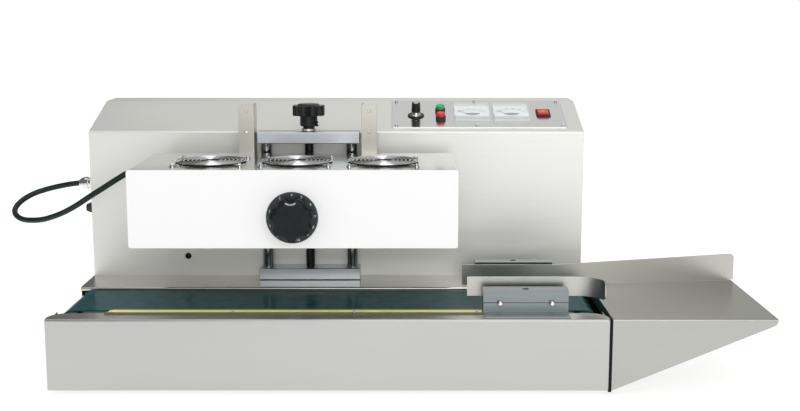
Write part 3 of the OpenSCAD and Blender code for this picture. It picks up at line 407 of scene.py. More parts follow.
    @staticmethod
    def bevel(obj: Object, width: float, segments: int = 2, angle: float = 38.0) -> Object:
        """Ease the sharp edges of an object.

        Args:
            obj: The object to change.
            width: Width of the bevel in millimetres.
            segments: Number of steps across it.
            angle: Least angle of an edge that is eased, in degrees.

        Returns:
            The same object.
        """
        return Bench.apply(
            obj, "BEVEL", width=width * MM, segments=segments, limit_method="ANGLE",
            angle_limit=math.radians(angle), use_clamp_overlap=False, miter_outer="MITER_ARC",
        )

    @staticmethod
    def settle(obj: Object, matrix: Matrix | None = None) -> Object:
        """Move an object and put its place into its mesh.

        Args:
            obj: The object to place.
            matrix: Placement in the part's frame.

        Returns:
            The same object, at the origin.
        """
        if matrix is not None:
            obj.matrix_world = matrix @ obj.matrix_world
        Bench.only(obj)
        bpy.ops.object.transform_apply(location=True, rotation=True, scale=True)
        return obj

    @staticmethod
    def copy(obj: Object, name: str, matrix: Matrix) -> Object:
        """Copy an object with its own mesh and place the copy.

        Args:
            obj: The object to copy.
            name: Name of the copy.
            matrix: Placement of the copy.

        Returns:
            The copy.
        """
        Bench.only(obj)
        bpy.ops.object.duplicate(linked=False)
        return Bench.settle(Bench.named(name), matrix)

    @staticmethod
    def join(name: str, parts: Sequence[Object]) -> Object:
        """Join objects into one piece.

        Args:
            name: Name of the piece.
            parts: The objects to join.

        Returns:
            The joined object.
        """
        Bench.only(*parts)
        bpy.ops.object.join()
        return Bench.named(name)

    @staticmethod
    def smooth(obj: Object, angle: float = 32.0) -> Object:
        """Shade an object smooth up to an angle.

        Args:
            obj: The object to shade.
            angle: Angle from which an edge stays sharp, in degrees.

        Returns:
            The same object.
        """
        Bench.only(obj)
        bpy.ops.object.shade_smooth_by_angle(angle=math.radians(angle))
        return obj

    @staticmethod
    def figures(name: str, words: str, height: float) -> Object:
        """Add flat figures centred on the origin, as a mesh.

        Args:
            name: Name of the object.
            words: The figures.
            height: Their size in millimetres.

        Returns:
            The new mesh object.
        """
        Bench.clear()
        bpy.ops.object.text_add()
        text = Bench.named(name)
        text.data.body = words
        text.data.size = height * MM
        text.data.align_x = "CENTER"
        text.data.align_y = "CENTER"
        text.data.extrude = Bench.PRINT * MM
        text.data.resolution_u = Bench.PRINT_STEPS
        Bench.only(text)
        bpy.ops.object.convert(target="MESH")
        return Bench.named(name)

    @staticmethod
    def fold(obj: Object, lines: Pairs) -> None:
        """Round the long folds of a sheet piece.

        Args:
            obj: The merged sheet piece.
            lines: Distance from the front panel and height of each fold, in millimetres.
        """
        places = [DATUM.point(0, y, z) for y, z in lines]
        near = Bench.FOLD_NEAR * MM
        with Bench.editing(obj):
            bpy.ops.mesh.select_mode(type="EDGE")
            mesh = bmesh.from_edit_mesh(obj.data)
            for edge in mesh.edges:
                edge.select_set(any(
                    all((v.co.yz - place.yz).length < near for v in edge.verts) for place in places
                ))
            bmesh.update_edit_mesh(obj.data)
            bpy.ops.mesh.bevel(
                offset=Bench.FOLD_WIDTH * MM, segments=Bench.FOLD_STEPS, affect="EDGES", clamp_overlap=True
            )

    @staticmethod
    def eased_copy(node: str, width: float, segments: int, folds: Pairs) -> Object:
        """Copy a node's mesh, merge it and ease its edges.

        Args:
            node: The node to copy.
            width: Width of the eased edges in millimetres.
            segments: Number of steps across an edge.
            folds: Distance from the front panel and height of the folds that are rounded more.

        Returns:
            The eased copy.
        """
        obj = Bench.linked(f"{node}_eased", frame["nodes"][node].data.copy())
        obj.data.name = obj.name
        with Bench.editing(obj, "SELECT"):
            bpy.ops.mesh.remove_doubles(threshold=Bench.NODE_WELD)
            bpy.ops.mesh.dissolve_limited(angle_limit=math.radians(Bench.NODE_FLAT))
        if "custom_normal" in obj.data.attributes:
            obj.data.attributes.remove(obj.data.attributes["custom_normal"])
        if folds:
            Bench.fold(obj, folds)
        Bench.bevel(obj, width, segments)
        Bench.smooth(obj, Bench.NODE_SMOOTH)
        return Bench.apply(obj, "WEIGHTED_NORMAL", keep_sharp=True)


class Graph:
    """Shader node tree that is wired in code."""

    # Sockets of the mix node in its colour mode.
    MASK, LOW, HIGH, RESULT = 0, 6, 7, 2

    def __init__(self, tree: NodeTree) -> None:
        """Keep the tree to build in."""
        self.tree = tree

    def feed(self, node: Node, inputs: dict[str | int, object]) -> None:
        """Link or set a node's inputs.

        Args:
            node: The node to feed.
            inputs: Values or output sockets for its inputs.
        """
        for key, value in inputs.items():
            if isinstance(value, NodeSocket):
                self.tree.links.new(value, node.inputs[key])
            else:
                node.inputs[key].default_value = value

    def node(self, kind: str, inputs: dict[str | int, object] | None = None, **settings: object) -> Node:
        """Add a node.

        Args:
            kind: Blender's name of the node type.
            inputs: Values or output sockets for its inputs.
            settings: Other properties of the node.

        Returns:
            The new node.
        """
        made = self.tree.nodes.new(kind)
        for key, value in settings.items():
            setattr(made, key, value)
        self.feed(made, inputs or {})
        return made

    def group(self, tree: NodeTree, **inputs: object) -> NodeSocket:
        """Place a node group with these inputs and return its value."""
        return self.node("ShaderNodeGroup", inputs, node_tree=tree).outputs[0]

    def math(self, operation: str, *values: NodeSocket | float) -> NodeSocket:
        """Return the result of an operation on one or two values."""
        return self.node("ShaderNodeMath", dict(enumerate(values)), operation=operation).outputs[0]

    def place(self, space: str = "Object") -> NodeSocket:
        """Return the place of the shaded point in a texture space."""
        return self.node("ShaderNodeTexCoord").outputs[space]

    def scaled(self, place: NodeSocket, factors: NodeSocket) -> NodeSocket:
        """Return a place with each axis multiplied."""
        return self.node("ShaderNodeVectorMath", {0: place, 1: factors}, operation="MULTIPLY").outputs[0]

    def axes(self, space: str = "Object") -> Sockets:
        """Return x, y and z of the shaded point in a texture space."""
        return self.node("ShaderNodeSeparateXYZ", {0: self.place(space)}).outputs

    def mix(self, mask: NodeSocket, low: Colour | NodeSocket, high: Colour) -> NodeSocket:
        """Return a colour that goes from low to high with a mask.

        Args:
            mask: The mask, from 0 to 1.
            low: Colour where the mask is 0.
            high: Colour where the mask is 1.

        Returns:
            The mixed colour.
        """
        start = low if isinstance(low, NodeSocket) else (*low, 1.0)
        ends = {self.MASK: mask, self.LOW: start, self.HIGH: (*high, 1.0)}
        return self.node("ShaderNodeMix", ends, data_type="RGBA").outputs[self.RESULT]

    def span(self, mask: NodeSocket, low: float, high: float) -> NodeSocket:
        """Return a value that goes from low to high with a mask."""
        return self.node("ShaderNodeMapRange", {"Value": mask, "To Min": low, "To Max": high}).outputs[0]

    def ramp(self, value: NodeSocket, start: NodeSocket | float, end: NodeSocket | float) -> NodeSocket:
        """Return a mask that goes from 0 to 1 while a value goes from start to end."""
        inputs = {"Value": value, "From Min": start, "From Max": end}
        return self.node("ShaderNodeMapRange", inputs).outputs[0]

    def noise(self, place: NodeSocket, **inputs: object) -> NodeSocket:
        """Return cloudy noise at a place."""
        return self.node("ShaderNodeTexNoise", {"Vector": place, **inputs}).outputs[0]

    def bump(self, height: NodeSocket, strength: float, depth: float) -> NodeSocket:
        """Return a normal that is bent by a height of a depth in millimetres."""
        inputs = {"Height": height, "Strength": strength, "Distance": depth * MM}
        return self.node("ShaderNodeBump", inputs).outputs[0]


class Groups:
    """Shared surface effects, each built once as a node group."""

    @staticmethod
    def once(
        name: str, inputs: dict[str, object], effect: Callable[[Graph, Sockets], NodeSocket]
    ) -> NodeTree:
        """Return a group, built on first use.

        Args:
            name: Name of the group.
            inputs: Name and default of each input; a tuple stands for a vector.
            effect: Takes the group's graph and inputs, and returns the value that it puts out.

        Returns:
            The group's node tree.
        """
        tree = bpy.data.node_groups.get(name)
        if tree is not None:
            return tree
        tree = bpy.data.node_groups.new(name, "ShaderNodeTree")
        for label, value in inputs.items():
            kind = "NodeSocketVector" if isinstance(value, tuple) else "NodeSocketFloat"
            tree.interface.new_socket(label, in_out="INPUT", socket_type=kind).default_value = value
        tree.interface.new_socket("Value", in_out="OUTPUT", socket_type="NodeSocketFloat")
        graph = Graph(tree)
        graph.node("NodeGroupOutput", {0: effect(graph, graph.node("NodeGroupInput").outputs)})
        return tree

    @staticmethod
    def brushed_lines() -> NodeTree:
        """Build the fine parallel scratches along one direction.

        Returns:
            The group, whose input is the pattern's scale on each axis.
        """
        def lines(graph: Graph, given: Sockets) -> NodeSocket:
            """Return noise that is stretched along the lines."""
            place = graph.scaled(graph.place(), given["Stretch"])
            return graph.noise(place, Scale=1.0, Detail=3.0, Roughness=0.65)

        return Groups.once("brushed_lines", {"Stretch": (20.0, 900.0, 900.0)}, lines)

    @staticmethod
    def cloudy() -> NodeTree:
        """Build the soft patches, for smudges, fading and dust.

        Returns:
            The group, whose inputs are the patches' scale and the noise's ends.
        """
        def patches(graph: Graph, given: Sockets) -> NodeSocket:
            """Return noise between its low and high ends."""
            noise = graph.noise(graph.place(), Scale=given["Scale"], Detail=5.0, Roughness=0.55)
            return graph.ramp(noise, given["Low"], given["High"])

        return Groups.once("cloudy_patches", {"Scale": 12.0, "Low": 0.35, "High": 0.7}, patches)

    @staticmethod
    def pebbles() -> NodeTree:
        """Build the fine moulded grain.

        Returns:
            The group, whose input is the grain's scale.
        """
        def grain(graph: Graph, given: Sockets) -> NodeSocket:
            """Return the distance from the middle of each grain."""
            cells = {"Vector": graph.place(), "Scale": given["Scale"]}
            return graph.node("ShaderNodeTexVoronoi", cells).outputs["Distance"]

        return Groups.once("moulded_grain", {"Scale": 1500.0}, grain)


@dataclass(frozen=True)
class Finish(ABC):
    """A surface finish; each kind wires its own shader."""

    name: str
    slot: str
    colour: Colour
    roughness: float

    def material(self) -> Material:
        """Make the finish's material on first use.

        Returns:
            The material.
        """
        made = bpy.data.materials.get(self.name)
        if made is None:
            made = bpy.data.materials.new(self.name)
            made.use_nodes = True
            made.diffuse_color = (*self.colour, 1.0)
            self.wire(Graph(made.node_tree), made.node_tree.nodes["Principled BSDF"])
        return made

    @abstractmethod
    def wire(self, graph: Graph, shader: Node) -> None:
        """Wire the material's Principled shader in its node tree."""

    def shade(self, factor: float, lift: float = 0.0) -> Colour:
        """Return the colour made lighter or darker."""
        return tuple(min(1.0, c * factor + lift) for c in self.colour)

    def rough(self, graph: Graph, mask: NodeSocket, spread: Pair) -> NodeSocket:
        """Return the roughness between two shares of it, by a mask."""
        return graph.span(mask, self.roughness * spread[0], min(1.0, self.roughness * spread[1]))


class Lay(Enum):
    """Directions of brushed lines, as the pattern's scale on each axis."""

    ALONG_X = (6.0, 700.0, 700.0)
    ALONG_Y = (700.0, 6.0, 700.0)
    ALONG_Z = (700.0, 700.0, 6.0)


@dataclass(frozen=True)
class SheetMetal(Finish):
    """Stainless or aluminium sheet with brushed lines and faint smudges."""

    lay: Lay = Lay.ALONG_X
    relief: float = 0.06
    contrast: float = 0.06
    smudge: float = 0.05
    metal: float = 1.0
    depth: float = 0.15
    patch_scale: float = 5.0
    spread: Pair = (0.85, 1.15)

    def wire(self, graph: Graph, shader: Node) -> None:
        """Wire brushed lines into colour, roughness and bump, and smudges into roughness.

        Args:
            graph: The material's node tree.
            shader: Its Principled shader.
        """
        lines = graph.group(Groups.brushed_lines(), Stretch=self.lay.value)
        smudges = graph.span(graph.group(Groups.cloudy(), Scale=self.patch_scale), 0.0, self.smudge)
        graph.feed(shader, {
            "Base Color": graph.mix(lines, self.shade(1 - self.contrast), self.shade(1 + self.contrast)),
            "Roughness": graph.math("ADD", self.rough(graph, lines, self.spread), smudges),
            "Metallic": self.metal,
            "Normal": graph.bump(lines, self.relief, self.depth),
        })


@dataclass(frozen=True)
class Moulded(Finish):
    """Moulded plastic or rubber with fine grain and worn patches."""

    grain: float = 1400.0
    relief: float = 0.1
    fade: float = 0.25
    coat: float = 0.0
    shine: float = 0.5
    depth: float = 0.1
    dust: float = 0.004
    patch_scale: float = 45.0
    spread: Pair = (0.88, 1.2)

    def wire(self, graph: Graph, shader: Node) -> None:
        """Wire grain into the bump and patches into colour and roughness.

        Args:
            graph: The material's node tree.
            shader: Its Principled shader.
        """
        patches = graph.group(Groups.cloudy(), Scale=self.patch_scale)
        grain = graph.group(Groups.pebbles(), Scale=self.grain)
        graph.feed(shader, {
            "Base Color": graph.mix(patches, self.colour, self.shade(1 + self.fade, self.dust)),
            "Roughness": self.rough(graph, patches, self.spread),
            "Coat Weight": self.coat,
            "Specular IOR Level": self.shine,
            "Normal": graph.bump(grain, self.relief, self.depth),
        })


@dataclass(frozen=True)
class EdgedStrip(Moulded):
    """Moulded strip along the belt with painted shade towards its two edges, where its rounded top turns from
    the light.
    """

    # colour of the painted shade at the strip's two edges
    edge: Colour = (0.16, 0.15, 0.05)
    middle: float = 43.0
    plain: float = 3.5
    reach: float = 9.0

    def wire(self, graph: Graph, shader: Node) -> None:
        """Wire the moulded finish, then paint shade into the colour from the middle line outwards.

        Args:
            graph: The material's node tree.
            shader: Its Principled shader.
        """
        super().wire(graph, shader)
        off = graph.math("SUBTRACT", graph.axes()[1], DATUM.point(0, self.middle, 0).y)
        # painted shade: the lit middle colour goes over to the darker edge colour
        edge_shade = graph.ramp(graph.math("ABSOLUTE", off), self.plain * MM, self.reach * MM)
        lit_colour = shader.inputs["Base Color"].links[0].from_socket
        graph.feed(shader, {"Base Color": graph.mix(edge_shade, lit_colour, self.edge)})


@dataclass(frozen=True)
class Painted(Finish):
    """Gloss paint on sheet, with a trace of orange peel."""

    peel: float = 160.0
    peel_detail: float = 2.0
    coat: float = 0.3
    relief: float = 0.04
    depth: float = 0.2
    fade: float = 0.993
    patch_scale: float = 4.0
    spread: Pair = (0.9, 1.1)

    def wire(self, graph: Graph, shader: Node) -> None:
        """Wire peel into the bump and faint patches into colour and roughness.

        Args:
            graph: The material's node tree.
            shader: Its Principled shader.
        """
        patches = graph.group(Groups.cloudy(), Scale=self.patch_scale)
        peel = graph.noise(graph.place(), Scale=self.peel, Detail=self.peel_detail)
        graph.feed(shader, {
            "Base Color": graph.mix(patches, self.shade(self.fade), self.colour),
            "Roughness": self.rough(graph, patches, self.spread),
            "Coat Weight": self.coat,
            "Normal": graph.bump(peel, self.relief, self.depth),
        })


@dataclass(frozen=True)
class Clear(Finish):
    """Clear acrylic with faint scuffs."""

    scuff: float = 0.06
    facing: float = 0.35
    cover: Pair = (0.05, 0.34)
    patch_scale: float = 60.0

    def wire(self, graph: Graph, shader: Node) -> None:
        """Wire scuffs into the roughness, and let the cover show more towards its edges.

        Args:
            graph: The material's node tree.
            shader: Its Principled shader.
        """
        patches = graph.group(Groups.cloudy(), Scale=self.patch_scale)
        weight = graph.node("ShaderNodeLayerWeight", {"Blend": self.facing})
        graph.feed(shader, {
            "Base Color": (*self.colour, 1.0),
            "Roughness": graph.span(patches, self.roughness, self.roughness + self.scuff),
            "Alpha": graph.span(weight.outputs["Facing"], *self.cover),
        })


TRAY_STEEL = SheetMetal("brushed_tray_sheet", "tray_steel", (0.56, 0.56, 0.54), 0.34)
TABLE_STEEL = SheetMetal("brushed_table_sheet", "tray_steel", (0.49, 0.49, 0.465), 0.27)
DECK_STEEL = SheetMetal("polished_deck_sheet", "deck_steel", (0.62, 0.61, 0.575), 0.16, smudge=0.08)
CABINET_STEEL = SheetMetal("bright_cabinet_sheet", "cabinet_steel", (0.92, 0.92, 0.89), 0.44, metal=0.75)
PANEL_STEEL = SheetMetal(
    "polished_panel_plate", "panel_steel", (0.93, 0.94, 0.93), 0.17, relief=0.02, smudge=0.03
)
HEAD_STEEL = SheetMetal("bright_head_sheet", "head_steel", (0.74, 0.74, 0.72), 0.14)
GUIDE_STEEL = SheetMetal("satin_guide_plate", "guide_steel", (0.58, 0.575, 0.54), 0.30)
HANGER_STEEL = SheetMetal("satin_hanger_angle", "hanger_steel", (0.69, 0.675, 0.61), 0.36, lay=Lay.ALONG_Z)
ROLLER_STEEL = SheetMetal("turned_roller_steel", "roller_steel", (0.50, 0.50, 0.50), 0.35, lay=Lay.ALONG_Y)
# Very dark steel of the lift screw and the clamps' socket screws.
SCREW_STEEL = SheetMetal("dark_screw_steel", "screw_steel", (0.05, 0.05, 0.055), 0.34, lay=Lay.ALONG_Z)
# The guide posts' chrome is darker than the other chrome: painted shade and painted dark reflections.
SHADED_POST_CHROME = SheetMetal("shaded_post_chrome", "chrome", (0.34, 0.35, 0.36), 0.08, relief=0.01, contrast=0.02)
CHROME = SheetMetal(
    "polished_chrome", "chrome", (0.82, 0.83, 0.85), 0.06, relief=0.01, contrast=0.02, smudge=0.02
)
ZINC = SheetMetal("bright_screw_heads", "zinc_screw", (0.80, 0.80, 0.80), 0.14)
ALUMINIUM = SheetMetal("milled_aluminium", "aluminium", (0.62, 0.66, 0.70), 0.30, contrast=0.1)
CLAMP_ALLOY = SheetMetal("grey_clamp_alloy", "aluminium", (0.27, 0.305, 0.31), 0.28, contrast=0.14)
CARRIAGE = SheetMetal("milled_carriage", "aluminium", (0.45, 0.46, 0.47), 0.38, lay=Lay.ALONG_Z)
COPPER = SheetMetal("copper_coil", "copper", (0.62, 0.30, 0.16), 0.3)
INVERTER = SheetMetal("bare_inverter_case", "inverter", (0.40, 0.43, 0.47), 0.45)

BED_PAINT = Painted("dark_bed_paint", "bed_steel", (0.10, 0.105, 0.11), 0.45)
WHITE_PAINT = Painted("white_head_paint", "white_front", (0.90, 0.905, 0.91), 0.42, coat=0.12)
NEEDLE = Painted("black_needle", "needle", (0.02, 0.02, 0.02), 0.4)
CASTING = Painted("gearmotor_paint", "gearmotor", (0.10, 0.13, 0.16), 0.45)

BELT = Moulded(
    "dark_green_belt", "belt", (0.012, 0.060, 0.066), 0.17, grain=900.0, relief=0.02, fade=0.35, shine=0.02
)
# The strip's colour darkens towards both edges: painted shade of its rounded top.
STRIP = EdgedStrip("pale_insulating_strip", "insulator", (0.86, 0.85, 0.37), 0.42, relief=0.05, fade=0.15)
COIL_TRAY = Moulded("ivory_coil_tray", "coil_tray", (0.78, 0.77, 0.70), 0.5, fade=0.05)
BLACK_GLOSS = Moulded(
    "black_knob_gloss", "black_knob", (0.008, 0.009, 0.010), 0.26, relief=0.04, fade=0.5, shine=0.35
)
DIAL_BLACK = Moulded(
    "black_dial_knob", "black_knob", (0.006, 0.008, 0.009), 0.30, relief=0.04, fade=0.4, shine=0.18
)
BLACK_PLATE = Moulded(
    "black_dial_plate", "black_knob", (0.026, 0.033, 0.034), 0.36, relief=0.05, fade=0.4, shine=0.3
)
BLACK_PLASTIC = Moulded("black_plastic", "black_plastic", (0.009, 0.009, 0.010), 0.45, fade=0.4, shine=0.25)
RUBBER = Moulded(
    "black_rubber", "rubber", (0.006, 0.006, 0.006), 0.6, grain=900.0, relief=0.2, fade=0.6, shine=0.15
)
SHEATH = Moulded(
    "cable_sheath", "cable", (0.006, 0.017, 0.014), 0.36, grain=700.0, relief=0.08, fade=0.5, shine=0.3
)
METER_WHITE = Moulded("white_scale_plate", "meter_white", (0.76, 0.79, 0.80), 0.5, fade=0.03)
GREEN = Moulded("green_cap", "green_cap", (0.010, 0.27, 0.075), 0.28, relief=0.03, fade=0.15, coat=0.4)
RED = Moulded("red_cap", "red_cap", (0.52, 0.018, 0.022), 0.28, relief=0.03, fade=0.15, coat=0.4)
PRINT_WHITE = Moulded("white_print", "meter_white", (0.70, 0.74, 0.75), 0.55, fade=0.1)
# Grey of the painted highlight crescent below the dial knob's notch.
HIGHLIGHT_GREY = Moulded("painted_highlight_grey", "meter_white", (0.36, 0.39, 0.39), 0.55, fade=0.1)
# Black of the meters' print and of their painted shade lenses.
PRINT_AND_SHADE_BLACK = Moulded("black_print_and_painted_shade", "needle", (0.02, 0.02, 0.022), 0.55, fade=0.2)
METER_CLEAR = Clear("clear_meter_cover", "meter_clear", (0.96, 0.97, 0.985), 0.03)

NODE_FINISHES: dict[str, Finish] = {
    node: finish
    for finish, nodes in (
        (TRAY_STEEL, "base_tray"), (TABLE_STEEL, "infeed_table"), (DECK_STEEL, "rear_deck"),
        (CABINET_STEEL, "cabinet_shell rear_cover"), (PANEL_STEEL, "control_panel"),
        (HEAD_STEEL, "head_shell"), (WHITE_PAINT, "head_front"),
        (GUIDE_STEEL, "front_guide_plate rear_guide_plate"), (HANGER_STEEL, "hanger_angles"),
        (BED_PAINT, "belt_bed bearing_blocks"), (ROLLER_STEEL, "drive_roller idler_roller"),
        (SCREW_STEEL, "lift_screw"), (SHADED_POST_CHROME, "guide_posts"),
        (CHROME, "cable_gland fan_guards front_guide_rods rear_guide_rods speed_pot"),
        (ZINC, "machine_screws head_screws"), (ALUMINIUM, "lift_bars"),
        (CLAMP_ALLOY, "clamp_bases clamp_caps"), (CARRIAGE, "carriage_block"),
        (BELT, "conveyor_belt"), (STRIP, "insulating_strip"),
        (COIL_TRAY, "coil_cover"), (COPPER, "induction_coil"),
        (BLACK_GLOSS, "star_knob speed_knob knob_ring"),
        (DIAL_BLACK, "dial_knob"), (BLACK_PLATE, "dial_plate"),
        (BLACK_PLASTIC, "button_bezels switch_frame mains_gland head_gland fan_frames regulator"),
        (BLACK_PLASTIC, "fan_rotor_1 fan_rotor_2 fan_rotor_3"),
        (RUBBER, "rubber_feet joint_gasket wall_grommet"), (SHEATH, "head_cable"),
        (METER_WHITE, "meter_bodies"), (METER_CLEAR, "meter_covers"),
        (NEEDLE, "needle_left needle_right"), (GREEN, "green_button"), (RED, "red_button rocker"),
        (CASTING, "gearmotor"), (INVERTER, "inverter_unit"),
    )
    for node in nodes.split()
}


class Assembly:
    """Base of the sub-assemblies: dresses a piece and seats it on its body."""

    def seat(self, obj: Object, finish: Finish, body: Body | None, *nodes: str) -> None:
        """Give a piece its finish and body.

        Args:
            obj: The finished mesh.
            finish: Its finish.
            body: The body that it rides on, or None for a piece that is left on no body.
            nodes: Nodes that it stands for.
        """
        obj.data.materials.clear()
        obj.data.materials.append(finish.material())
        if body is not None:
            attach(obj, body.value)
        if nodes:
            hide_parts(*nodes)
        carrier = body.value if body else "blend"
        LOG.info("piece %s on %s, %d faces", obj.name, carrier, len(obj.data.polygons))

    def seat_turned(
        self, name: str, outline: Pairs, place: Matrix, finish: Finish, body: Body, steps: int = 48
    ) -> None:
        """Turn a piece from its outline, place it and seat it.

        Args:
            name: Name of the piece.
            outline: Radius and height of each point, in millimetres.
            place: Placement of its axis.
            finish: Its finish.
            body: The body that it rides on.
            steps: Number of steps round.
        """
        piece = Bench.smooth(Bench.turned(name, outline, steps))
        self.seat(Bench.settle(piece, place), finish, body)


@dataclass
class CadNodes(Assembly):
    """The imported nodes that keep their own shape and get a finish, and those with eased edges."""

    # Node, body, width of its eased edges in millimetres and steps across them.
    eased: tuple[tuple[str, Body, float, int], ...] = (
        ("base_tray", Body.MACHINE, 0.5, 2), ("infeed_table", Body.MACHINE, 0.6, 2),
        ("cabinet_shell", Body.MACHINE, 0.5, 2), ("control_panel", Body.MACHINE, 0.35, 2),
        ("lift_bars", Body.MACHINE, 0.8, 3), ("clamp_bases", Body.MACHINE, 0.4, 2),
        ("clamp_caps", Body.MACHINE, 0.5, 2), ("button_bezels", Body.MACHINE, 0.3, 2),
        ("switch_frame", Body.MACHINE, 0.4, 2), ("knob_ring", Body.MACHINE, 0.3, 2),
        ("head_shell", Body.HEAD, 0.35, 2), ("head_front", Body.HEAD, 0.4, 2),
        ("hanger_angles", Body.HEAD, 0.4, 2), ("dial_plate", Body.HEAD, 0.4, 2),
        ("green_button", Body.GREEN, 0.9, 3), ("red_button", Body.RED, 0.9, 3),
        ("rocker", Body.ROCKER, 0.6, 3), ("dial_knob", Body.DIAL, 1.4, 3),
        ("star_knob", Body.SPINDLE, 1.2, 3), ("front_guide_plate", Body.FRONT_GUIDE, 0.3, 2),
        ("rear_guide_plate", Body.REAR_GUIDE, 0.3, 2),
        ("front_guide_rods", Body.FRONT_GUIDE, 2.4, 4), ("rear_guide_rods", Body.REAR_GUIDE, 2.4, 4),
    )
    front_top: Pair = (0.0, 121.0)
    front_foot: Pair = (0.0, 8.0)

    def build(self) -> None:
        """Dress every node, then put eased copies in place of the listed ones."""
        folds: dict[str, Pairs] = {
            "base_tray": (self.front_top, self.front_foot),
            "infeed_table": (self.front_top,),
            "cabinet_shell": PANEL.folds(),
        }
        for node, obj in frame["nodes"].items():
            obj.data.materials.clear()
            obj.data.materials.append(NODE_FINISHES[node].material())
        for node, body, width, steps in self.eased:
            copy = Bench.eased_copy(node, width, steps, folds.get(node, ()))
            self.seat(copy, NODE_FINISHES[node], body, node)


@dataclass
class HeadCable(Assembly):
    """The cable from the cabinet's gland round to the head, in millimetres of the machine."""

    diameter: float = 9.5
    route: tuple[Point, ...] = (
        (-28, 340, 281), (-45, 340, 279), (-66, 340, 275), (-87, 337, 270), (-106, 331, 264),
        (-121, 321, 256), (-130, 308, 247), (-131, 294, 239), (-124, 281, 232), (-110, 269, 228),
        (-91, 259, 228), (-70, 250, 231), (-48, 241, 238), (-25, 233, 248), (-2, 225, 261),
        (21, 217, 276), (42, 210, 289), (61, 203, 301), (77, 198, 311), (90, 196, 318), (104, 195, 321),
    )
    steps: int = 6
    still_point: int = 2  # index of one of the route's points
    bevel_steps: int = 5
    smooth: float = 60.0

    def path(self) -> list[Vector]:
        """Draw a smooth dense path through the route's points.

        Returns:
            The path's points in the part's frame.
        """
        points = [DATUM.point(*p) for p in self.route]
        ends = [2 * points[0] - points[1], *points, 2 * points[-1] - points[-2]]
        dense: list[Vector] = []
        for a, b, c, d in zip(ends, ends[1:], ends[2:], ends[3:]):
            for i in range(self.steps):
                t = i / self.steps
                square = (2 * a - 5 * b + 4 * c - d) * t ** 2
                cube = (3 * b - a - 3 * c + d) * t ** 3
                dense.append(0.5 * (2 * b + (c - a) * t + square + cube))
        return [*dense, points[-1]]

    def sheath(self, path: Sequence[Vector]) -> Object:
        """Sweep the sheath along a path.

        Args:
            path: The path's points.

        Returns:
            The sheath's mesh object.
        """
        name = "head_cable_sheath"
        curve = bpy.data.curves.new(name, "CURVE")
        curve.dimensions = "3D"
        curve.bevel_depth = self.diameter / 2 * MM
        curve.bevel_resolution = self.bevel_steps
        curve.use_fill_caps = True
        spline = curve.splines.new("POLY")
        spline.points.add(len(path) - 1)
        for point, at in zip(spline.points, path):
            point.co = (*at, 1.0)
        Bench.only(Bench.linked(name, curve))
        bpy.ops.object.convert(target="MESH")
        return Bench.smooth(Bench.named(name), self.smooth)

    def build(self) -> None:
        path = self.path()
        obj = self.sheath(path)
        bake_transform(obj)
        self.seat(obj, SHEATH, None, "head_cable")


@dataclass
class LiftScrew(Assembly):
    """Threaded lift screw with plain journals, its collar and the knob's set screw, in millimetres."""

    x: float = 384.0
    y: float = 287.0
    crest: float = 7.95
    root: float = 6.6
    pitch: float = 4.0
    flank_start: float = 0.32
    crest_start: float = 0.47
    crest_end: float = 0.85
    steps: int = 28
    low: float = 141.3
    high: float = 358.7
    overlap: float = 0.02
    journal: float = 6.0
    journal_edge: float = 0.8
    foot: float = 121.3
    top: float = 405.5
    collar_z: float = 379.4
    collar: Pairs = ((10.1, 0), (12.2, 0), (12.6, 0.4), (12.6, 4.0), (12.2, 4.4), (10.1, 4.4), (10.1, 0))
    set_screw_off: Pair = (14.4, -4.0)
    set_screw_z: float = 391.5
    set_screw_steps: int = 36
    set_screw_ring: Pairs = ((3.4, -1), (4.9, -1), (4.9, 1.2), (4.5, 1.6), (3.4, 1.6), (3.4, -1))
    set_screw: Pairs = ((0, 0), (3.3, 0), (3.3, 3.0), (3.0, 3.4), (1.4, 3.4), (1.4, 2.0), (0, 2.0))

    def thread(self) -> Object:
        """Carry one pitch of the thread's profile up the screw.

        Returns:
            The thread.
        """
        p = self.pitch
        obj = Bench.profile("lift_screw_thread", [
            (self.root, 0.0), (self.root, p * self.flank_start), (self.crest, p * self.crest_start),
            (self.crest, p * self.crest_end), (self.root, p),
        ])
        Bench.apply(
            obj, "SCREW", axis="Z", angle=math.tau, screw_offset=p * MM,
            iterations=int((self.high - self.low) / p),
            steps=self.steps, render_steps=self.steps, use_merge_vertices=True,
        )
        return Bench.settle(obj, shift(z=self.low))

    def build(self) -> None:
        """Build the screw, the set screw with its dark ring in the knob's hub, and the collar."""
        core = Bench.cylinder("lift_screw_core", self.root + self.overlap, self.high - self.low)
        Bench.settle(core, shift(z=self.low))
        journal = Bench.cylinder("lift_screw_journal", self.journal, self.top - self.foot)
        Bench.settle(Bench.bevel(journal, self.journal_edge), shift(z=self.foot))
        screw = Bench.join("lift_screw_threaded", [core, self.thread(), journal])
        Bench.settle(screw, DATUM.place(self.x, self.y, 0))
        self.seat(Bench.smooth(screw), SCREW_STEEL, Body.SPINDLE, "lift_screw")
        right, back = self.set_screw_off
        hub = DATUM.place(self.x + right, self.y + back, self.set_screw_z, Axis.RIGHT)
        for name, outline, finish in (
            ("set_screw_ring", self.set_screw_ring, BLACK_GLOSS), ("knob_set_screw", self.set_screw, ZINC),
        ):
            self.seat_turned(name, outline, hub, finish, Body.SPINDLE, self.set_screw_steps)
        bar = DATUM.place(self.x, self.y, self.collar_z)
        self.seat_turned("lift_screw_collar", self.collar, bar, ZINC, Body.SPINDLE)


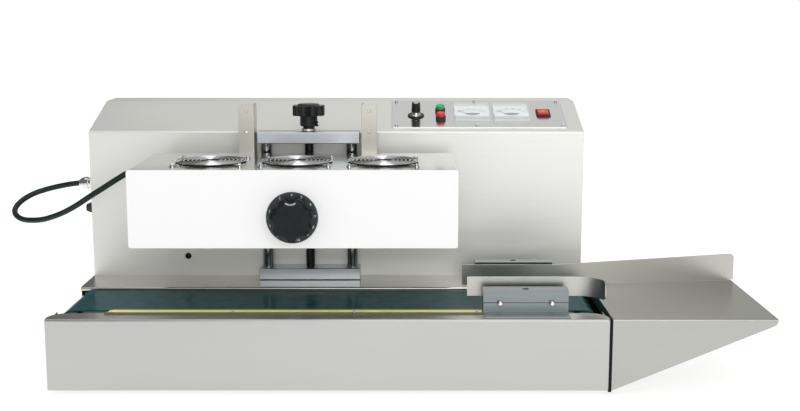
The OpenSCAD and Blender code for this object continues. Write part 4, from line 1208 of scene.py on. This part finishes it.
@dataclass
class ScrewHeads(Assembly):
    """Pan-head screws with a cross recess and socket screws, in millimetres and degrees."""

    large: float = 7.0
    small: float = 5.5
    height: float = 2.2
    sides: int = 24
    dome: float = 0.62
    dome_steps: int = 4
    dome_angle: float = 60.0
    recess: float = 1.1
    cross: float = 0.62
    slot: float = 0.17
    first_turn: float = 0.3  # radians
    next_turn: float = 0.7
    smooth: float = 40.0
    fan_x: tuple[float, ...] = (238.0, 376.0, 514.0)
    fan_y: float = 137.5
    fan_holes: float = 105.0
    guard_top: float = 345.1
    hanger_screw: Point = (279.75, 260.0, 379.5)
    cover_x: tuple[float, ...] = (8.5, 430.0, 851.5)
    cover_y: float = 516.0
    cover_z: tuple[float, ...] = (135.0, 410.5)
    panel_x: tuple[float, ...] = (8.0, 150.0, 300.0)
    panel_s: tuple[float, ...] = (8.0, 118.0)
    strip_end: float = 668.0
    strip_length: float = 584.0
    strip_shares: tuple[float, ...] = (0.015, 0.34, 0.66, 0.985)
    strip_y: float = 33.0
    strip_z: float = 123.0
    clamp_places: tuple[Point, ...] = ((735.0, 42.0, 150.6), (735.0, 256.0, 150.6))
    socket_r: float = 4.5
    socket_height: float = 6.0
    socket_sides: int = 40
    socket_edge: float = 0.4
    socket_angle: float = 50.0
    hexagon_sides: int = 6
    hexagon_r: float = 2.9
    hexagon_z: float = 2.6

    def sockets(self) -> Object:
        """Model the socket screws that stand in the clamps' bores.

        Returns:
            The screws as one object.
        """
        model = Bench.cylinder("socket_screw", self.socket_r, self.socket_height, self.socket_sides)
        hexagon = Bench.cylinder(
            "socket_screw_hexagon", self.hexagon_r, self.socket_height, self.hexagon_sides
        )
        Bench.settle(hexagon, shift(z=self.hexagon_z))
        Bench.bevel(Bench.cut(model, hexagon), self.socket_edge, angle=self.socket_angle)
        copies = [
            Bench.copy(model, f"clamp_screw_{i}", DATUM.place(*at)) for i, at in enumerate(self.clamp_places)
        ]
        bpy.data.objects.remove(model)
        return Bench.smooth(Bench.join("clamp_screws", copies), self.smooth)

    def head(self, name: str, width: float) -> Object:
        """Model a screw head that stands on the origin.

        Args:
            name: Name of the object.
            width: Diameter of the head.

        Returns:
            The new object.
        """
        obj = Bench.cylinder(name, width / 2, self.height, self.sides)
        Bench.bevel(obj, self.height * self.dome, self.dome_steps, self.dome_angle)
        arm, slot = width * self.cross, width * self.slot
        for i, size in enumerate(((arm, slot), (slot, arm))):
            Bench.cut(obj, Bench.box(f"{name}_recess_{i}", (*size, self.recess * 2), (0, 0, self.height)))
        return Bench.smooth(obj, self.smooth)

    def copies(self, name: str, model: Object, places: Sequence[Matrix]) -> list[Object]:
        """Copy a screw head to its places, each turned as tightening left it.

        Args:
            name: Start of the copies' names.
            model: The screw head.
            places: Placement of each copy.

        Returns:
            The copies.
        """
        turns = [turn(self.next_turn * i + self.first_turn) for i in range(len(places))]
        return [Bench.copy(model, f"{name}_{i}", m @ t) for i, (m, t) in enumerate(zip(places, turns))]

    def head_places(self) -> list[Matrix]:
        """List the places of the screws that ride on the sealing head.

        Returns:
            The guards' screws and the left hanger's.
        """
        half = self.fan_holes / 2
        places = [
            DATUM.place(x + sx * half, self.fan_y + sy * half, self.guard_top)
            for x in self.fan_x for sx in (-1, 1) for sy in (-1, 1)
        ]
        return [*places, DATUM.place(*self.hanger_screw, Axis.FRONT)]

    def machine_places(self) -> tuple[list[Matrix], list[Matrix]]:
        """List the places of the screws that ride on the machine.

        Returns:
            The cover's large screws, and the panel's and strip's small ones.
        """
        large = [DATUM.place(x, self.cover_y, z, Axis.BACK) for x in self.cover_x for z in self.cover_z]
        panel = [PANEL.matrix(x, s) for x in self.panel_x for s in self.panel_s]
        strip = [self.strip_end - self.strip_length * share for share in self.strip_shares]
        return large, panel + [DATUM.place(x, self.strip_y, self.strip_z) for x in strip]

    def build(self) -> None:
        """Model the two sizes once and copy them to every place."""
        big = self.head("large_screw_head", self.large)
        little = self.head("small_screw_head", self.small)
        on_head = self.copies("head_screw", big, self.head_places())
        large, small = self.machine_places()
        on_machine = self.copies("machine_screw", big, large) + self.copies("panel_screw", little, small)
        for model in (big, little):
            bpy.data.objects.remove(model)
        self.seat(Bench.join("head_screw_heads", on_head), ZINC, Body.HEAD, "head_screws")
        self.seat(Bench.join("machine_screw_heads", on_machine), ZINC, Body.MACHINE, "machine_screws")
        self.seat(self.sockets(), SCREW_STEEL, Body.MACHINE)


@dataclass
class Dial(Assembly):
    """Marks of the dial on the head's front and the painted highlight on its knob, in millimetres and
    degrees.
    """

    x: float = 375.0
    y: float = 41.0
    z: float = 270.0
    angles: tuple[float, ...] = (230, 200, 163, 121, 90, 65, 36, 3, -24, -48, -75)
    figure: float = 5.8
    figure_lift: float = 0.05
    ring: float = 35.7
    knob_face: float = 25.3
    notch: float = 36.86
    crescent: Pair = (11.5, 13.7)
    crescent_swing: float = 38.0
    crescent_depth: float = 0.2
    crescent_sink: float = 0.1
    crown: float = 24.48
    fall: float = 0.262

    def build(self) -> None:
        """Build the figures round the plate and the painted highlight on the knob."""
        parts: list[Object] = []
        for i, angle in enumerate(self.angles):
            figure = Bench.figures(f"dial_figure_{i}", str(i), self.figure)
            at = turn(math.radians(angle)) @ Vector((self.ring * MM, 0, self.figure_lift * MM))
            parts.append(Bench.settle(figure, Matrix.Translation(at)))
        marks = Bench.join("dial_marks", parts)
        face = DATUM.place(self.x, self.y, self.z, Axis.FRONT)
        self.seat(Bench.settle(marks, face), PRINT_WHITE, Body.HEAD)
        self.pointer()

    def pointer(self) -> None:
        """Build the grey crescent below the knob's notch, laid on the knob's crowned face: a painted
        highlight of the notch's rounded edge, turning with the knob.
        """
        mark = Bench.arc("dial_notch_highlight", *self.crescent, self.crescent_swing, self.crescent_depth)
        Bench.settle(mark, shift(y=self.notch) @ turn(math.pi))
        for vert in mark.data.vertices:
            past = max(0.0, vert.co.xy.length - self.crown * MM)
            vert.co.z -= past * self.fall + self.crescent_sink * MM
        face = DATUM.place(self.x, self.y - self.knob_face, self.z, Axis.FRONT)
        self.seat(Bench.settle(mark, face), HIGHLIGHT_GREY, Body.DIAL)


@dataclass
class Meters(Assembly):
    """Scales, aprons, painted shade lenses and zero screws of the two panel meters, in millimetres and
    degrees.
    """

    places: Pairs = ((143.0, 64.0), (213.0, 64.0))
    base: float = 2.0
    pivot: float = -19.0
    mask: float = 6.6
    apron: Point = (58.6, 0.8, 3.38)
    apron_at: float = -28.2
    apron_edge: float = 0.2
    window_r: float = 16.2
    window_cut: float = 7.2
    window_drop: float = 7.8
    window_depth: float = 0.2
    window_lift: float = 0.02
    window_edge: float = 0.05
    window_sides: int = 96
    zero_screw: Pairs = ((0, 0), (3.0, 0), (3.0, 0.14), (2.7, 0.24), (0, 0.24))
    zero_steps: int = 32
    zero_slot: Point = (5.0, 0.7, 0.3)
    radius: float = 31.0
    swing: float = 45.0
    line: float = 0.7
    ink: float = 0.06
    ink_edge: float = 0.02
    lift: float = 0.03
    divisions: int = 20
    long_every: int = 4
    long_tick: float = 4.2
    short_tick: float = 2.2
    tick_width: float = 0.5
    figure: float = 4.0
    figure_off: float = 7.0
    unit: float = 8.0
    unit_off: float = 16.0
    units: str = "AV"
    figures: tuple[tuple[str, ...], ...] = (
        ("0", "2", "4", "6", "8", "10"), ("0", "50", "100", "150", "200", "250"),
    )

    def angle(self, step: int, steps: int) -> float:
        """Return the angle of one step on the scale, from its left end."""
        return QUARTER + math.radians(self.swing - 2 * self.swing * step / steps)

    def scale(self, index: int) -> Object:
        """Model one meter's printed scale.

        Args:
            index: Which meter.

        Returns:
            Ticks, arc and figures as one object about the meter's centre.
        """
        r = self.radius
        parts = [Bench.arc(f"meter_arc_{index}", r, r + self.line, self.swing, self.ink)]
        for i in range(self.divisions + 1):
            length = self.short_tick if i % self.long_every else self.long_tick
            size = (length, self.tick_width, self.ink)
            tick = Bench.box(f"meter_tick_{index}_{i}", size, (r + length / 2, 0, self.ink / 2))
            Bench.bevel(tick, self.ink_edge, 1)
            parts.append(Bench.settle(tick, turn(self.angle(i, self.divisions))))
        labels = self.figures[index]
        for i, label in enumerate(labels):
            angle = self.angle(i, len(labels) - 1)
            figure = Bench.figures(f"meter_figure_{index}_{i}", label, self.figure)
            at = Vector((math.cos(angle), math.sin(angle), 0)) * (r + self.figure_off) * MM
            parts.append(Bench.settle(figure, Matrix.Translation(at)))
        unit = Bench.figures(f"meter_unit_{index}", self.units[index], self.unit)
        parts.append(Bench.settle(unit, shift(y=self.unit_off)))
        return Bench.settle(Bench.join(f"meter_scale_{index + 1}", parts), shift(y=self.pivot))

    def front_apron(self, index: int) -> Object:
        """Return the strip that closes the space below a meter's mask."""
        middle = (0, self.apron_at, self.base + self.apron[2] / 2)
        return Bench.bevel(Bench.box(f"meter_apron_{index + 1}", self.apron, middle), self.apron_edge)

    def zero(self, index: int) -> Object:
        """Model the slotted zero screw over a needle's pivot.

        Args:
            index: Which meter.

        Returns:
            The new object.
        """
        obj = Bench.turned(f"meter_zero_{index + 1}", self.zero_screw, self.zero_steps)
        slot = Bench.box(f"meter_zero_slot_{index + 1}", self.zero_slot, (0, 0, self.zero_slot[2]))
        return Bench.smooth(Bench.cut(obj, slot))

    def window(self, index: int) -> Object:
        """Model the dark lens on a meter's lower mask: painted shade below the mask's arched edge.

        Args:
            index: Which meter.

        Returns:
            The new object.
        """
        obj = Bench.cylinder(f"meter_shade_lens_{index + 1}", self.window_r, self.window_depth, self.window_sides)
        with Bench.editing(obj, "SELECT"):
            bpy.ops.mesh.bisect(
                plane_co=(0, -self.window_cut * MM, 0), plane_no=(0, 1, 0), clear_outer=True, use_fill=True
            )
        Bench.bevel(obj, self.window_edge, 1)
        return Bench.settle(obj, shift(y=-self.window_drop, z=self.mask + self.window_lift))

    def build(self) -> None:
        """Lay a scale on each meter's plate, close its mask in front, and set its painted shade lens and zero
        screw.
        """
        for index, (px, ps) in enumerate(self.places):
            plate = PANEL.matrix(px, ps, self.base + self.lift)
            meter = PANEL.matrix(px, ps)
            pivot = PANEL.matrix(px, ps + self.pivot, self.mask)
            for piece, place, finish in (
                (self.scale(index), plate, PRINT_AND_SHADE_BLACK), (self.front_apron(index), meter, METER_WHITE),
                # the flat black lens on each mask is painted shade
                (self.window(index), meter, PRINT_AND_SHADE_BLACK), (self.zero(index), pivot, BLACK_GLOSS),
            ):
                self.seat(Bench.settle(piece, place), finish, Body.MACHINE)


@dataclass
class PanelControls(Assembly):
    """Small parts of the speed knob and the rocker, in millimetres on the panel and degrees."""

    knob: Pair = (43.0, 53.0)
    knob_r: float = 8.0
    knob_height: float = 17.0
    knob_sides: int = 72
    knob_z: float = 8.3
    knob_taper: float = 0.9
    knob_rim: float = 1.6
    knob_edge: float = 0.4
    knob_angle: float = 50.0
    ribs: int = 24
    rib_depth: float = 0.022
    rib_from: float = 6.5
    shaft_r: float = 3.0
    shaft_height: float = 12.0
    shaft_sides: int = 32
    shaft_z: float = -3.0
    shaft_edge: float = 0.3
    collar: Pairs = ((5.2, 2.0), (9.6, 2.0), (9.2, 3.2), (7.0, 4.6), (6.0, 6.6), (5.2, 6.6), (5.2, 2.0))
    cap: Pairs = ((0, 0), (5.6, 0), (5.6, 0.35), (5.2, 0.6), (0, 0.75))
    cap_z: float = 25.3
    rocker: Pair = (271.0, 63.0)
    rocker_z: float = 1.0
    rocker_tilt: float = -10.0
    rocker_rise: Pair = (2.0, 12.0)
    mark_y: float = 6.6
    mark_z: float = 3.16
    line: Point = (0.9, 4.2, 0.12)
    line_edge: float = 0.03
    ring: Pairs = ((1.5, -0.06), (2.2, -0.06), (2.2, 0.06), (1.5, 0.06), (1.5, -0.06))
    ring_steps: int = 32

    def build(self) -> None:
        """Build the bush's collar, the knob with its ribs and cap, and the rocker's marks."""
        place = PANEL.matrix(*self.knob)
        self.seat_turned("speed_bush_collar", self.collar, place, CHROME, Body.MACHINE)
        self.seat(Bench.settle(self.knurled(), place), BLACK_GLOSS, Body.SPEED, "speed_knob")
        self.seat_turned("speed_knob_cap", self.cap, place @ shift(z=self.cap_z), ZINC, Body.SPEED)
        self.rocker_marks()

    def knurled(self) -> Object:
        """Model the ribbed speed knob on its shaft.

        Returns:
            The new object.
        """
        body = Bench.cylinder("speed_knob_body", self.knob_r, self.knob_height, self.knob_sides)
        with Bench.editing(body):
            Bench.pick_top(body)
            bpy.ops.transform.resize(value=(self.knob_taper, self.knob_taper, 1.0))
            bpy.ops.mesh.inset(thickness=self.knob_rim * MM)
        for vert in body.data.vertices:
            if vert.co.xy.length > self.rib_from * MM:
                around = math.cos(self.ribs * math.atan2(vert.co.y, vert.co.x))
                vert.co.xy *= 1 + self.rib_depth * around - self.rib_depth
        Bench.bevel(body, self.knob_edge, angle=self.knob_angle)
        Bench.settle(body, shift(z=self.knob_z))
        shaft = Bench.cylinder("speed_knob_shaft", self.shaft_r, self.shaft_height, self.shaft_sides)
        Bench.settle(Bench.bevel(shaft, self.shaft_edge), shift(z=self.shaft_z))
        return Bench.smooth(Bench.join("speed_knob_ribbed", [body, shaft]))

    def rocker_marks(self) -> None:
        """Build the line and the ring on the rocker's two halves."""
        rise = math.atan2(*self.rocker_rise)
        line = Bench.bevel(Bench.box("rocker_line", self.line), self.line_edge, 1)
        ring = Bench.turned("rocker_ring", self.ring, self.ring_steps)
        for mark, way in ((line, 1), (ring, -1)):
            Bench.settle(mark, shift(y=way * self.mark_y, z=self.mark_z) @ turn(way * rise, "X"))
        marks = Bench.join("rocker_marks", [line, ring])
        tilt = PANEL.matrix(*self.rocker, self.rocker_z) @ turn(math.radians(self.rocker_tilt), "X")
        self.seat(Bench.settle(marks, tilt), PRINT_WHITE, Body.ROCKER)


@dataclass(frozen=True)
class Softbox:
    """A square soft lamp, in metres and watts."""

    name: str
    at: Point
    size: float
    watts: float
    aim: Point = (0.0, 0.0, 0.2)

    def hang(self) -> None:
        """Put the lamp in the scene, turned towards its aim."""
        light = bpy.data.lights.new(self.name, "AREA")
        light.size = self.size
        light.energy = self.watts
        lamp = Bench.linked(self.name, light)
        lamp.location = self.at
        lamp.rotation_euler = (Vector(self.aim) - Vector(self.at)).to_track_quat("-Z", "Y").to_euler()


@dataclass
class Studio:
    """Floor, light, world and camera of the picture, in metres, with lens and sensor in millimetres."""

    floor_size: float = 60.0
    floor_colour: Colour = (0.90, 0.90, 0.895)
    floor_ends: Pair = (1.1, 2.0)
    floor_glow: Pair = (1.25, 0.2)
    glow_share: float = 0.62
    near_wall: Colour = (0.92, 0.92, 0.91)
    far_wall: Colour = (0.68, 0.68, 0.62)
    ceiling: Colour = (0.58, 0.58, 0.57)
    left_wall: Colour = (0.15, 0.15, 0.14)
    right_wall: Colour = (0.36, 0.36, 0.34)
    backdrop: Colour = (1.0, 1.0, 1.0)
    ceiling_band: Pair = (0.12, 0.66)
    front_band: Pair = (0.3, -0.3)
    left_band: Pair = (-0.08, -0.24)
    right_band: Pair = (0.14, 0.44)
    lamps: tuple[Softbox, ...] = (
        Softbox("front_softbox", (0.6, -2.6, 1.6), 2.2, 18.0),
        Softbox("top_softbox", (-0.4, 0.1, 2.4), 1.8, 6.0),
    )
    camera_at: Point = (-0.0034, -2.0298, 0.5867)
    camera_dip: float = 0.1627  # radians below level
    lens: float = 54.0
    sensor: float = 36.0
    clip_end: float = 200.0

    def build(self) -> None:
        """Set up the stage in order."""
        self.floor()
        self.world()
        for lamp in self.lamps:
            lamp.hang()
        self.camera()
        bpy.context.scene.view_settings.view_transform = "Standard"

    def floor(self) -> None:
        """Lay the pale floor, which keeps the machine's shadow and darkens to its ends in reflections."""
        Bench.clear()
        bpy.ops.mesh.primitive_plane_add(size=self.floor_size)
        floor = Bench.named("floor")
        made = bpy.data.materials.new("pale_floor")
        made.use_nodes = True
        tree = made.node_tree
        tree.nodes.remove(tree.nodes["Principled BSDF"])
        graph = Graph(tree)
        rays = graph.node("ShaderNodeLightPath").outputs
        seen = graph.math("MAXIMUM", rays["Is Camera Ray"], rays["Is Glossy Ray"])
        seen = graph.math("MAXIMUM", seen, rays["Is Transmission Ray"])
        ends = graph.ramp(graph.math("ABSOLUTE", graph.axes()[0]), *self.floor_ends)
        dim = graph.math("MULTIPLY", ends, rays["Is Glossy Ray"])
        matt = graph.node("ShaderNodeBsdfDiffuse", {"Color": (*self.floor_colour, 1.0)})
        glow = graph.node("ShaderNodeEmission", {"Strength": graph.span(dim, *self.floor_glow)})
        share = graph.math("MULTIPLY", seen, self.glow_share)
        both = graph.node("ShaderNodeMixShader", {0: share, 1: matt.outputs[0], 2: glow.outputs[0]})
        graph.feed(tree.nodes["Material Output"], {0: both.outputs[0]})
        floor.data.materials.append(made)

    def world(self) -> None:
        """Make a soft room: white to the camera, bright in front and darker behind in reflections."""
        world = bpy.data.worlds.new("studio_room")
        bpy.context.scene.world = world
        world.use_nodes = True
        graph = Graph(world.node_tree)
        x, y, z = graph.axes("Generated")
        rays = graph.node("ShaderNodeLightPath").outputs
        room = graph.mix(graph.ramp(z, *self.ceiling_band), self.far_wall, self.ceiling)
        for mask, wall in (
            (graph.ramp(y, *self.front_band), self.near_wall),
            (graph.ramp(x, *self.left_band), self.left_wall),
            (graph.ramp(x, *self.right_band), self.right_wall),
            (rays["Is Diffuse Ray"], self.near_wall),
            (rays["Is Camera Ray"], self.backdrop),
        ):
            room = graph.mix(mask, room, wall)
        graph.feed(world.node_tree.nodes["Background"], {"Color": room})

    def camera(self) -> None:
        """Set the camera at the photograph's angle."""
        data = bpy.data.cameras.new("photo_camera")
        data.lens = self.lens
        data.sensor_width = self.sensor
        data.sensor_fit = "HORIZONTAL"
        data.clip_end = self.clip_end
        camera = Bench.linked("photo_camera", data)
        camera.location = self.camera_at
        camera.rotation_euler = (QUARTER - self.camera_dip, 0.0, 0.0)
        bpy.context.scene.camera = camera


def main() -> None:
    """Build the stage, the cable, the finishes and the fine pieces in order."""
    logging.basicConfig(level=logging.INFO, format="%(message)s")
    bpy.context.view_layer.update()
    Studio().build()
    HeadCable().build()
    CadNodes().build()
    for assembly in (LiftScrew(), ScrewHeads(), Dial(), Meters(), PanelControls()):
        assembly.build()


if __name__ == "__main__":
    main()
